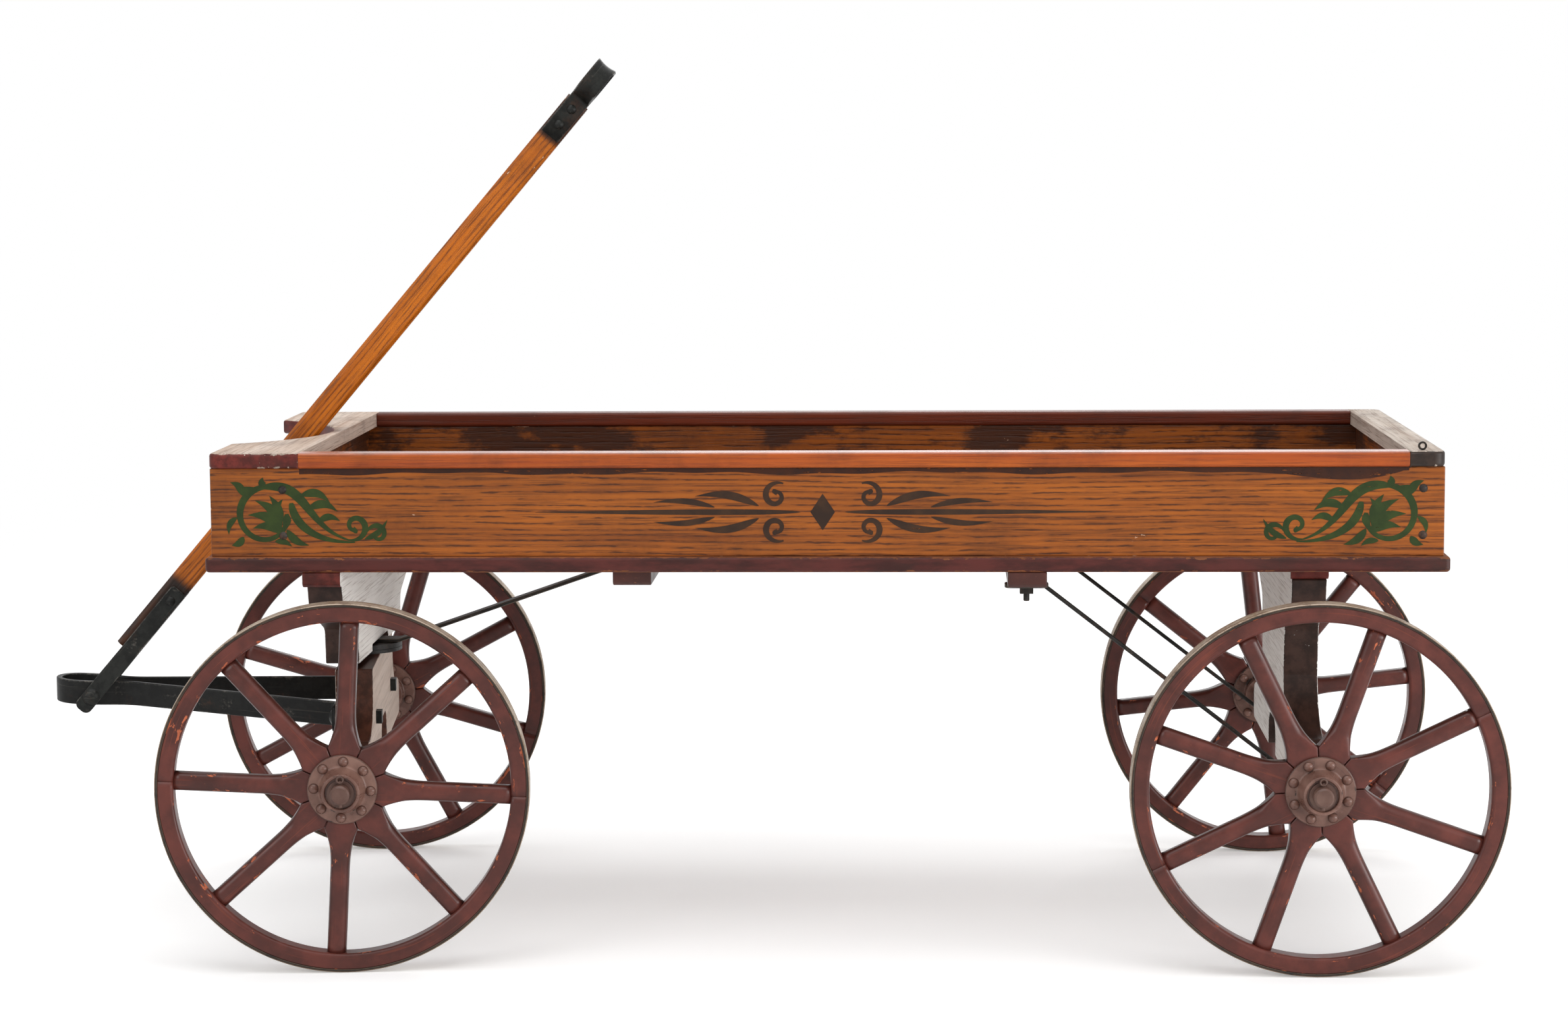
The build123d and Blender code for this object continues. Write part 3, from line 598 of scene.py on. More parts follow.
class Graph:
    """Adds and links the nodes of one shader tree."""

    def __init__(self, tree: NodeTree) -> None:
        """Keep the tree that nodes are added to."""
        self.tree = tree

    @classmethod
    def cleared(cls, owner: Union[Material, World]) -> "Graph":
        """Empty a shader tree.

        Args:
            owner: The material or world that has it.

        Returns:
            The emptied tree.
        """
        owner.use_nodes = True
        owner.node_tree.nodes.clear()
        return cls(owner.node_tree)

    def feed(self, socket: NodeSocket, value: Union[Number, Sequence[float]]) -> None:
        """Link an input to a value of the tree, or set its own value.

        Args:
            socket: The input.
            value: A value to link, a number, or a colour or vector.
        """
        if isinstance(value, Value):
            self.tree.links.new(value.socket, socket)
        elif socket.type == "RGBA":
            socket.default_value = (*value, 1.0)
        else:
            socket.default_value = value

    def node(self, kind: str, feeds: Optional[dict] = None, **settings: object) -> Node:
        """Add a node.

        Args:
            kind: Blender's name of the node type.
            feeds: Values for its inputs, by name or number.
            settings: Values of its properties.

        Returns:
            The new node.
        """
        made = self.tree.nodes.new(kind)
        for key, value in settings.items():
            setattr(made, key, value)
        for key, value in (feeds or {}).items():
            self.feed(made.inputs[key], value)
        return made

    def value(self, kind: str, feeds: Optional[dict] = None, output: object = 0, **settings: object) -> Value:
        """Add a node and return one of its outputs, by name or number."""
        return Value(self, self.node(kind, feeds, **settings).outputs[output])

    def math(self, operation: str, *values: Number) -> Value:
        """Return the result of a Math node."""
        return self.value("ShaderNodeMath", dict(enumerate(values)), operation=operation)

    def blend(self, share: Number, first: object, second: object) -> Value:
        """Return a colour mixed from the first to the second by a share."""
        return self.value("ShaderNodeMix", {0: share, 6: first, 7: second}, 2, data_type="RGBA")

    def noise(
        self,
        vector: Value,
        scale: Union[float, Sequence[float]],
        detail: float,
        rough: float = 0.55,
        turn: Sequence[float] = (0.0, 0.0, 0.0),
    ) -> Value:
        """Return the value of a Noise texture.

        Args:
            vector: The place to look it up at.
            scale: Its scale, or one for each axis.
            detail: Its detail.
            rough: Its roughness.
            turn: Degrees that the place is turned by, where each axis has a scale.

        Returns:
            The noise.
        """
        if not isinstance(scale, float):
            feeds = {"Vector": vector, "Rotation": [math.radians(angle) for angle in turn], "Scale": scale}
            vector, scale = self.value("ShaderNodeMapping", feeds), 1.0
        feeds = {"Vector": vector, "Scale": scale, "Detail": detail, "Roughness": rough}
        return self.value("ShaderNodeTexNoise", feeds)


class Group(Graph):
    """Adds and links the nodes of a node group that several materials share."""

    kinds: ClassVar[dict[str, str]] = {
        "Vector": "NodeSocketVector",
        **dict.fromkeys(("Light", "Dark", "Pore", "Color"), "NodeSocketColor"),
    }

    def __init__(self, name: str, inputs: str, outputs: str) -> None:
        """Start the group.

        Args:
            name: The group's name.
            inputs: Names of its inputs.
            outputs: Names of its outputs; sockets without a kind of their own are plain numbers.
        """
        super().__init__(bpy.data.node_groups.new(name, "ShaderNodeTree"))
        for labels, way in ((inputs, "INPUT"), (outputs, "OUTPUT")):
            for label in labels.split():
                kind = self.kinds.get(label, "NodeSocketFloat")
                self.tree.interface.new_socket(name=label, in_out=way, socket_type=kind)
        self.given = {row.name: Value(self, row) for row in self.node("NodeGroupInput").outputs}
        self.result = self.node("NodeGroupOutput").inputs

    def over(self, *details: object, **more: object) -> Value:
        """Return a noise at the group's own coordinates."""
        return self.noise(self.given["Vector"], *details, **more)

    def give(self, **values: Value) -> NodeTree:
        """Feed the group's outputs and return its tree."""
        for name, value in values.items():
            self.feed(self.result[name], value)
        return self.tree


@cache
def wood_grain() -> NodeTree:
    """Make open-pored timber: growth rings as broken dark lines, slow tone changes and fine pores.

    A ring is a sine of the place across the grain, pushed about by a slow noise and sharpened to a line;
    a noise drawn out along the grain breaks it into dashes. A pore is a finer noise, drawn out likewise.

    Returns:
        The group.
    """
    group = Group("wood_grain", "Vector Light Dark Pore Rings", "Color Height")
    given, ring_width = group.given, 0.0050
    parts = group.node("ShaderNodeSeparateXYZ", {0: given["Vector"]}).outputs
    across = Value(group, parts[1]) * 0.55 + Value(group, parts[2])
    push = (group.over((2.2, 15.0, 15.0), 2.0) - 0.5) * 30.0 + group.over((90.0, 420.0, 420.0), 2.0) * 2.4
    ring = group.math("SINE", across * (2.0 * math.pi / ring_width) + push) * 0.5 + 0.5
    dashes = group.over((38.0, 300.0, 300.0), 3.0, 0.62).step(0.42, 0.58)
    line = ring.step(0.7, 1.0) * dashes * given["Rings"]
    tone = group.over((2.6, 80.0, 80.0), 4.0, 0.6)
    pores = group.over((16.0, 820.0, 820.0), 3.0, 0.6).step(0.51, 0.66)
    share = ((tone - 0.5) * 1.7 + 0.35 + ring * given["Rings"] * 0.3).held()
    marks = pores * 0.5 | line * 0.85
    colour = given["Light"].mix(share, given["Dark"]).mix(marks, given["Pore"])
    return group.give(Color=colour, Height=marks * -0.8)


@cache
def paint_chips() -> NodeTree:
    """Make a mask that is 1 where paint is gone: chips in loose flocks, more of them along worn edges.

    Returns:
        The group.
    """
    group = Group("paint_chips", "Vector Edge Amount", "Mask")
    fine = group.over((110.0, 260.0, 260.0), 5.0, 0.6)
    broad = group.over(24.0, 3.0)
    level = (broad - 0.5) * 0.6 + fine + group.given["Edge"] * (broad * 0.55)
    start = group.given["Amount"] * -0.3 + 0.86
    return group.give(Mask=level.step(start, start + 0.035))


@cache
def old_grime() -> NodeTree:
    """Make a mask of old dirt: soft clouds with a finer mottle inside them.

    Returns:
        The group.
    """
    group = Group("old_grime", "Vector", "Mask")
    cloud = group.over(12.0, 6.0, 0.66).step(0.42, 0.78)
    mottle = group.over(140.0, 4.0, 0.6).span(0.3, 1.5)
    return group.give(Mask=(cloud * mottle).held())


@cache
def fine_scuffs() -> NodeTree:
    """Make a mask of thin scuffs: two sets of long thin marks that cross at a low angle.

    Returns:
        The group.
    """
    group = Group("fine_scuffs", "Vector", "Mask")
    first = group.over((9.0, 380.0, 380.0), 2.0, turn=(0.0, 7.0, 4.0)).step(0.66, 0.71)
    second = group.over((14.0, 460.0, 300.0), 2.0, turn=(0.0, -16.0, -11.0)).step(0.67, 0.72)
    return group.give(Mask=first | second)


@cache
def iron_patina() -> NodeTree:
    """Make old painted iron: bright wear on edges, rust in patches and a fine pitted height.

    Returns:
        The group.
    """
    group = Group("iron_patina", "Vector Edge", "Wear Rust Height")
    patch, fine = group.over(48.0, 5.0, 0.6), group.over(430.0, 4.0, 0.6)
    level = group.given["Edge"] * 0.34 + patch + (fine - 0.5) * 0.5
    rust = group.over(26.0, 6.0, 0.68) + fine * 0.25
    return group.give(Wear=level.step(0.6, 0.8), Rust=rust.step(0.68, 0.84), Height=fine)


@dataclass
class Skin:
    """A material in the making, with its piece's own coordinates, edges and zones to work from."""

    graph: Graph
    shader: Node
    vector: Value
    edge: Value
    zone: Value

    def use(self, effect: Callable[[], NodeTree], **feeds: object) -> dict[str, Value]:
        """Add a shared effect at the piece's coordinates and return its outputs by name."""
        group = self.graph.node("ShaderNodeGroup", {"Vector": self.vector, **feeds}, node_tree=effect())
        return {output.name: Value(self.graph, output) for output in group.outputs}

    def mask(self, effect: Callable[[], NodeTree], **feeds: object) -> Value:
        """Add a shared effect that gives one mask."""
        return self.use(effect, **feeds)["Mask"]

    def noise(self, scale: Union[float, Sequence[float]], detail: float, rough: float) -> Value:
        """Return a noise at the piece's coordinates."""
        return self.graph.noise(self.vector, scale, detail, rough)

    def feed(self, **inputs: Union[Number, Colour]) -> None:
        """Feed the shader's inputs, named with underscores for spaces."""
        for name, value in inputs.items():
            self.graph.feed(self.shader.inputs[name.replace("_", " ")], value)

    def bump(self, height: Value, distance: float) -> None:
        """Raise the surface by a height, over a distance in millimetres."""
        feeds = {"Height": height, "Strength": 1.0, "Distance": distance * MM}
        self.feed(Normal=self.graph.value("ShaderNodeBump", feeds))


@dataclass(frozen=True)
class Finish:
    """A named finish, which makes its material once for each kind of coordinates; its slot name is not used.
    """

    name: str
    slot: str
    made: ClassVar[dict[str, Material]] = {}
    specular: ClassVar[float] = 0.25

    def material(self, coordinates: Coordinates = Coordinates.OWN) -> Material:
        """Give the finish's material, making it at its first use.

        Args:
            coordinates: Where the pattern's coordinates come from.

        Returns:
            The material.
        """
        name = self.name + coordinates.value
        if name not in self.made:
            self.made[name] = bpy.data.materials.new(name)
            graph = Graph.cleared(self.made[name])
            shader = graph.node("ShaderNodeBsdfPrincipled")
            graph.node("ShaderNodeOutputMaterial", {"Surface": Value(graph, shader.outputs[0])})
            if coordinates is Coordinates.OWN:
                vector = graph.value("ShaderNodeAttribute", output="Vector", attribute_name="grain")
            else:
                vector = graph.value("ShaderNodeTexCoord", output="Object")
            masks = [
                graph.value("ShaderNodeAttribute", output="Fac", attribute_name=label)
                for label in ("edge", "zone")
            ]
            skin = Skin(graph, shader, vector, *masks)
            skin.feed(Specular_IOR_Level=self.specular)
            self.dress(skin)
        return self.made[name]

    def dress(self, skin: Skin) -> None:
        """Feed the shader; each kind of finish does it its own way."""
        raise NotImplementedError


@dataclass(frozen=True)
class Varnish(Finish):
    """Old varnished timber: bold grain under a satin coat, paler arrises, and a side darkened by stain and
    painted shade.
    """

    light: Colour
    dark: Colour
    pore: Colour
    stain: Colour
    bare: Colour = srgb(226, 190, 160)
    grime: Colour = srgb(44, 26, 18)
    rings: float = 1.0
    stained: float = 0.55
    least: float = 0.25
    dirt: float = 0.45
    wear: float = 0.2
    edge_wear: float = 0.5
    gloss: float = 0.36
    coat: float = 0.0
    coat_rough: float = 0.18

    def dress(self, skin: Skin) -> None:
        """Lay grain, a blotched side darkened by stain and painted shade, dirt, scuffs and bare arrises over
        each other.

        Args:
            skin: The material in the making.
        """
        wood = skin.use(wood_grain, Light=self.light, Dark=self.dark, Pore=self.pore, Rings=self.rings)
        # The side zone takes the stain and more dirt; on the boards' inner faces this is partly painted
        # shade.
        side = skin.zone.step(0.55, 0.9)
        blotch = skin.noise((11.0, 22.0, 22.0), 6.0, 0.64).step(0.47, 0.56)
        stain_and_shade = side * blotch.span(self.least * self.stained, self.stained)
        dirt = skin.mask(old_grime)
        soil_and_shade = (dirt * (side * 0.35 + self.dirt)).held()
        scuffs = skin.mask(fine_scuffs) * 0.3
        bare = skin.mask(paint_chips, Edge=skin.edge * self.edge_wear, Amount=self.wear)
        colour = wood["Color"].mix(stain_and_shade, self.stain).mix(soil_and_shade, self.grime)
        colour = colour.mix(scuffs, self.pore).mix(bare * 0.7, self.bare)
        rough = (dirt * 0.22 + self.gloss + bare * 0.2).held()
        skin.feed(Base_Color=colour, Roughness=rough)
        if self.coat:
            skin.feed(Coat_Weight=side * self.coat, Coat_Roughness=self.coat_rough)
        skin.bump(wood["Height"], 0.25)


@dataclass(frozen=True)
class Paint(Finish):
    """Old oil paint, chipped to what is under it, with faded clouds, darker dirt and painted shade."""

    colour: Colour
    faded: Colour
    under: Colour
    under_dark: Colour
    amount: float = 0.3
    edge_wear: float = 0.4
    gloss: float = 0.34
    # The colour of dirt, and of the painted shade on the paint's high zone.
    grime: Colour = srgb(34, 22, 18)
    specular: ClassVar[float] = 0.3

    def dress(self, skin: Skin) -> None:
        """Mix fresh and faded paint, add dirt and painted shade, and let the ground show through the chips.

        Args:
            skin: The material in the making.
        """
        mottle = skin.noise(34.0, 5.0, 0.6).step(0.36, 0.7)
        # Dirt clouds, and painted shade where the zone is high, such as a spoke's flanks and a flange's rim.
        soil_and_shade = skin.mask(old_grime) * 0.55 | skin.zone.step(0.55, 1.0) * 0.5
        scuffs = skin.mask(fine_scuffs) * 0.25
        chips = skin.mask(paint_chips, Edge=skin.edge * self.edge_wear, Amount=self.amount)
        ground = skin.graph.blend(mottle, self.under, self.under_dark)
        colour = skin.graph.blend(mottle, self.colour, self.faded).mix(soil_and_shade, self.grime)
        colour = colour.mix(scuffs, self.under_dark).mix(chips, ground)
        rough = (mottle * 0.14 + self.gloss + chips * 0.2).held()
        skin.feed(Base_Color=colour, Roughness=rough)
        skin.bump(chips * -1.0, 0.15)


@dataclass(frozen=True)
class Weathered(Finish):
    """Timber bleached bare on its broad faces, with old paint left on one zone."""

    light: Colour
    dark: Colour
    pore: Colour
    paint: Colour
    zone_from: float
    zone_to: float
    left_over: float = 0.5
    rings: float = 0.2
    dirt: float = 0.55
    grime: Colour = srgb(46, 34, 28)
    ragged: float = 0.05

    def dress(self, skin: Skin) -> None:
        """Show bare grain, and paint where the zone is within its span and where flakes are left.

        Args:
            skin: The material in the making.
        """
        wood = skin.use(wood_grain, Light=self.light, Dark=self.dark, Pore=self.pore, Rings=self.rings)
        dirt = skin.mask(old_grime)
        line = (skin.noise(130.0, 5.0, 0.62) - 0.5) * 0.5 + skin.zone
        ends = (self.zone_from, self.zone_to)
        above, below = (line.step(end - self.ragged, end + self.ragged) for end in ends)
        chips = skin.mask(paint_chips, Edge=skin.edge * 0.6, Amount=self.left_over)
        painted = ((above - below).held() * (1.0 - chips)).held()
        uneven = skin.noise((18.0, 70.0, 70.0), 5.0, 0.66).step(0.36, 0.64)
        tone = skin.graph.blend(uneven, shade(self.paint, 0.6), shade(self.paint, 1.5))
        bare = wood["Color"].mix(dirt * self.dirt, self.grime)
        colour = bare.mix(painted, tone.mix(dirt * 0.6, self.grime))
        skin.feed(Base_Color=colour, Roughness=painted.span(0.8, 0.45))
        skin.bump(painted * 0.4 + wood["Height"] * painted.span(1.0, 0.15), 0.3)


@dataclass(frozen=True)
class Iron(Finish):
    """Black iron, rubbed to grey metal on its arrises, with brown rust in patches."""

    colour: Colour
    worn: Colour
    rust: Colour = srgb(96, 62, 42)
    rusting: float = 0.55
    shine: float = 0.6
    edge_wear: float = 1.0
    specular: ClassVar[float] = 0.2

    def dress(self, skin: Skin) -> None:
        """Mix black, rust and bare metal by the shared patina.

        Args:
            skin: The material in the making.
        """
        patina = skin.use(iron_patina, Edge=skin.edge * self.edge_wear)
        rust = patina["Rust"] * self.rusting
        wear = patina["Wear"] | skin.mask(fine_scuffs) * 0.3
        uneven = skin.noise(95.0, 6.0, 0.68).step(0.38, 0.62)
        colour = skin.graph.blend(uneven, shade(self.colour, 0.6), shade(self.colour, 1.7))
        colour = colour.mix(rust, self.rust).mix(wear, self.worn)
        rough = (rust * 0.3 + 0.44 + wear * -0.08).held()
        skin.feed(Base_Color=colour, Metallic=wear * self.shine, Roughness=rough)
        skin.bump(patina["Height"], 0.12)


@dataclass(frozen=True)
class Tread(Finish):
    """A steel tyre: worn tan and scratched on the tread, black on its sides."""

    side: Colour
    tread: Colour
    bright: Colour
    dust: Colour
    specular: ClassVar[float] = 0.3

    def dress(self, skin: Skin) -> None:
        """Mix a dusty tread and black sides by the zone.

        Args:
            skin: The material in the making.
        """
        patina = skin.use(iron_patina, Edge=skin.edge)
        wear = patina["Wear"]
        mottle = skin.noise(70.0, 5.0, 0.66).step(0.36, 0.66)
        tread = skin.graph.blend(mottle, self.tread, self.dust).mix(wear, self.bright)
        colour = skin.graph.blend(wear * 0.5, self.side, self.tread).mix(skin.zone.step(0.35, 0.75), tread)
        skin.feed(Base_Color=colour, Metallic=wear * 0.6, Roughness=mottle.span(0.44, 0.68))
        skin.bump(patina["Height"], 0.15)


@dataclass(frozen=True)
class Stencil(Finish):
    """Thin old stencil paint on timber, rubbed through to the wood in specks and along the grain."""

    colour: Colour
    faded: Colour
    worn: float = 0.45
    specular: ClassVar[float] = 0.2

    def dress(self, skin: Skin) -> None:
        """Vary the paint and leave it out where it is rubbed away.

        Args:
            skin: The material in the making.
        """
        mottle = skin.noise(60.0, 5.0, 0.6).step(0.35, 0.68)
        level = skin.noise((30.0, 600.0, 600.0), 4.0, 0.62) * 0.6 + skin.noise(210.0, 4.0, 0.62) * 0.4
        start = 0.66 - 0.16 * self.worn
        left = (1.0 - level.step(start, start + 0.06)).held()
        colour = skin.graph.blend(mottle, self.colour, self.faded)
        skin.feed(Base_Color=colour, Roughness=mottle.span(0.5, 0.66), Alpha=left)


# Its stain darkens the boards' inner faces, partly as painted shade inside the box.
OAK = Varnish(
    "varnished_side_oak", "varnished_oak",
    srgb(176, 98, 33), srgb(116, 59, 22), srgb(58, 30, 16), srgb(50, 27, 18), stained=0.92,
)
RAIL_OAK = Varnish(
    "rail_oak", "varnished_oak",
    srgb(184, 94, 34), srgb(148, 58, 30), srgb(98, 44, 26), srgb(120, 62, 36),
    bare=srgb(216, 158, 112), rings=0.3, stained=0.3, edge_wear=0.6, coat=0.75,
)
# A darker copy of the rail's varnish for the far rail: older stain, and partly painted shade on its inner
# face.
FAR_RAIL_DARK_AND_SHADED = Varnish(
    "reddened_rail", "varnished_oak",
    srgb(104, 44, 24), srgb(68, 26, 16), srgb(46, 20, 13), srgb(78, 34, 22),
    bare=srgb(200, 140, 98), rings=0.3, stained=0.3,
)
HANDLE_OAK = Varnish(
    "handle_oak", "handle_wood",
    srgb(210, 118, 30), srgb(164, 84, 24), srgb(74, 36, 16), srgb(34, 22, 16),
    rings=0.75, stained=1.0, least=0.9, dirt=0.6,
)
FLOOR = Weathered(
    "floor_boards", "floor_oak",
    srgb(150, 92, 58), srgb(104, 60, 38), srgb(58, 34, 22), srgb(69, 29, 25), 0.1, 0.9, left_over=0.36,
)
CAP = Weathered(
    "worn_caps", "painted_cap",
    srgb(212, 198, 186), srgb(168, 138, 116), srgb(98, 70, 54), srgb(96, 35, 29), -1.0, 0.84, left_over=0.35,
)
REAR_CAP = replace(
    CAP, name="dark_rear_cap",
    light=srgb(204, 194, 184), dark=srgb(150, 130, 114), paint=srgb(40, 29, 23), zone_to=0.9, dirt=0.8,
)
BOLSTER = Weathered(
    "bleached_bolster", "weathered_wood",
    srgb(240, 238, 234), srgb(224, 219, 212), srgb(150, 136, 126), srgb(54, 37, 31), 0.14, 0.86,
    left_over=0.2, rings=0.06, dirt=0.12,
)
BLOCK = replace(
    BOLSTER, name="axle_block_wood",
    light=srgb(208, 192, 180), dark=srgb(168, 148, 134), paint=srgb(78, 46, 34),
)
CLEAT_END = replace(BOLSTER, name="cleat_ends", paint=srgb(90, 38, 32))
CLEAT = Paint(
    "cleat_paint", "maroon_wood", srgb(66, 34, 28), srgb(84, 44, 37), srgb(160, 96, 62), srgb(120, 70, 48)
)
WHEEL_WOOD = Paint(
    "wheel_paint", "maroon_wood",
    srgb(76, 37, 31), srgb(100, 50, 42), srgb(186, 100, 66), srgb(138, 66, 44), amount=0.36, gloss=0.28,
)
HUB_PAINT = Paint(
    "hub_paint", "maroon_metal",
    srgb(108, 76, 66), srgb(136, 103, 91), srgb(66, 54, 48), srgb(50, 40, 36), gloss=0.24,
)
AXLE_PAINT = Paint(
    "axle_paint", "maroon_metal",
    srgb(84, 58, 50), srgb(112, 86, 76), srgb(148, 128, 112), srgb(112, 92, 80), amount=0.5,
)
BLACK_IRON = Iron("black_iron", "black_iron", srgb(24, 25, 23), srgb(84, 81, 76), rusting=0.2, edge_wear=0.5)
RIVET_IRON = replace(BLACK_IRON, name="rivet_iron", edge_wear=0.1)
BAR_IRON = Iron("bar_iron", "black_iron", srgb(14, 14, 13), srgb(80, 77, 72), rusting=0.25, edge_wear=0.3)
ROD_IRON = Iron("rod_iron", "black_iron", srgb(32, 30, 28), srgb(80, 72, 64), rusting=0.6)
BOLT_STEEL = Iron("bolt_steel", "worn_steel", srgb(44, 38, 34), srgb(128, 116, 104), rusting=0.7, shine=0.8)
TYRE = Tread(
    "tyre_tread", "tyre_steel", srgb(30, 26, 23), srgb(118, 98, 82), srgb(180, 166, 150), srgb(142, 122, 100)
)
GREEN = Stencil("green_stencil", "varnished_oak", srgb(36, 50, 20), srgb(50, 64, 28), worn=0.2)
BROWN = Stencil("brown_stencil", "varnished_oak", srgb(44, 30, 22), srgb(62, 42, 28), worn=0.2)
# Dark strokes under the rails: painted shade under the rails' overhang, with old dirt.
RAIL_SHADE_AND_DIRT = Stencil("rail_stain", "varnished_oak", srgb(46, 24, 16), srgb(64, 34, 20), worn=0.5)


def dress_nodes(finish: Finish, *nodes: str) -> None:
    """Give frame nodes that stay in view one of the finishes.

    Args:
        finish: The finish.
        nodes: The nodes' names.
    """
    material = finish.material(Coordinates.OBJECT)
    for node in nodes:
        piece = frame["nodes"][node]
        for slot in piece.material_slots:
            slot.material = material
        if not piece.material_slots:
            piece.data.materials.append(material)
        LOG.info("%s is dressed with %s", node, finish.name)


def linked(name: str, data: ID) -> Object:
    """Add an object to the scene, at the origin.

    Args:
        name: Its name.
        data: Its mesh, light or camera.

    Returns:
        The new object.
    """
    made = bpy.data.objects.new(name, data)
    bpy.context.scene.collection.objects.link(made)
    return made


def smooth_mesh(name: str, points: Array, faces: list, material: Material) -> Mesh:
    """Return a new smooth mesh of points in millimetres.

    Args:
        name: Its name.
        points: The vertices' places.
        faces: Lists of corner numbers.
        material: Its material.

    Returns:
        The mesh.
    """
    mesh = bpy.data.meshes.new(name)
    mesh.from_pydata(points * MM, [], faces)
    mesh.polygons.foreach_set("use_smooth", np.ones(len(mesh.polygons), bool))
    mesh.materials.append(material)
    return mesh


class Assembly:
    """Something built of pieces that ride on one body."""

    body: str

    def piece(self, name: str, surface: Surface, finish: Finish, *nodes: str) -> None:
        """Turn a surface into a piece at the origin, with its place in its mesh.

        Args:
            name: The piece's name.
            surface: Its surface in millimetres.
            finish: Its finish.
            nodes: Frame nodes that it stands for.
        """
        kept, faces = surface.welded()
        mesh = smooth_mesh(name, kept.points, faces, finish.material())
        for label, values in (("edge", kept.edge), ("zone", kept.zone)):
            mesh.attributes.new(label, "FLOAT", "POINT").data.foreach_set("value", values.astype(np.float32))
        offset = sum(place * ord(letter) for place, letter in enumerate(name, 1)) % GRAIN_PLACES
        grain = (kept.grain + offset * GRAIN_STEP) * MM
        attribute = mesh.attributes.new("grain", "FLOAT_VECTOR", "POINT")
        attribute.data.foreach_set("vector", grain.astype(np.float32).ravel())
        shell = bmesh.new()
        shell.from_mesh(mesh)
        bmesh.ops.recalc_face_normals(shell, faces=shell.faces)
        shell.to_mesh(mesh)
        shell.free()
        made = linked(name, mesh)
        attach(made, self.body)
        if nodes:
            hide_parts(*nodes)
        LOG.info("%s rides on %s with %d faces", name, self.body, len(mesh.polygons))


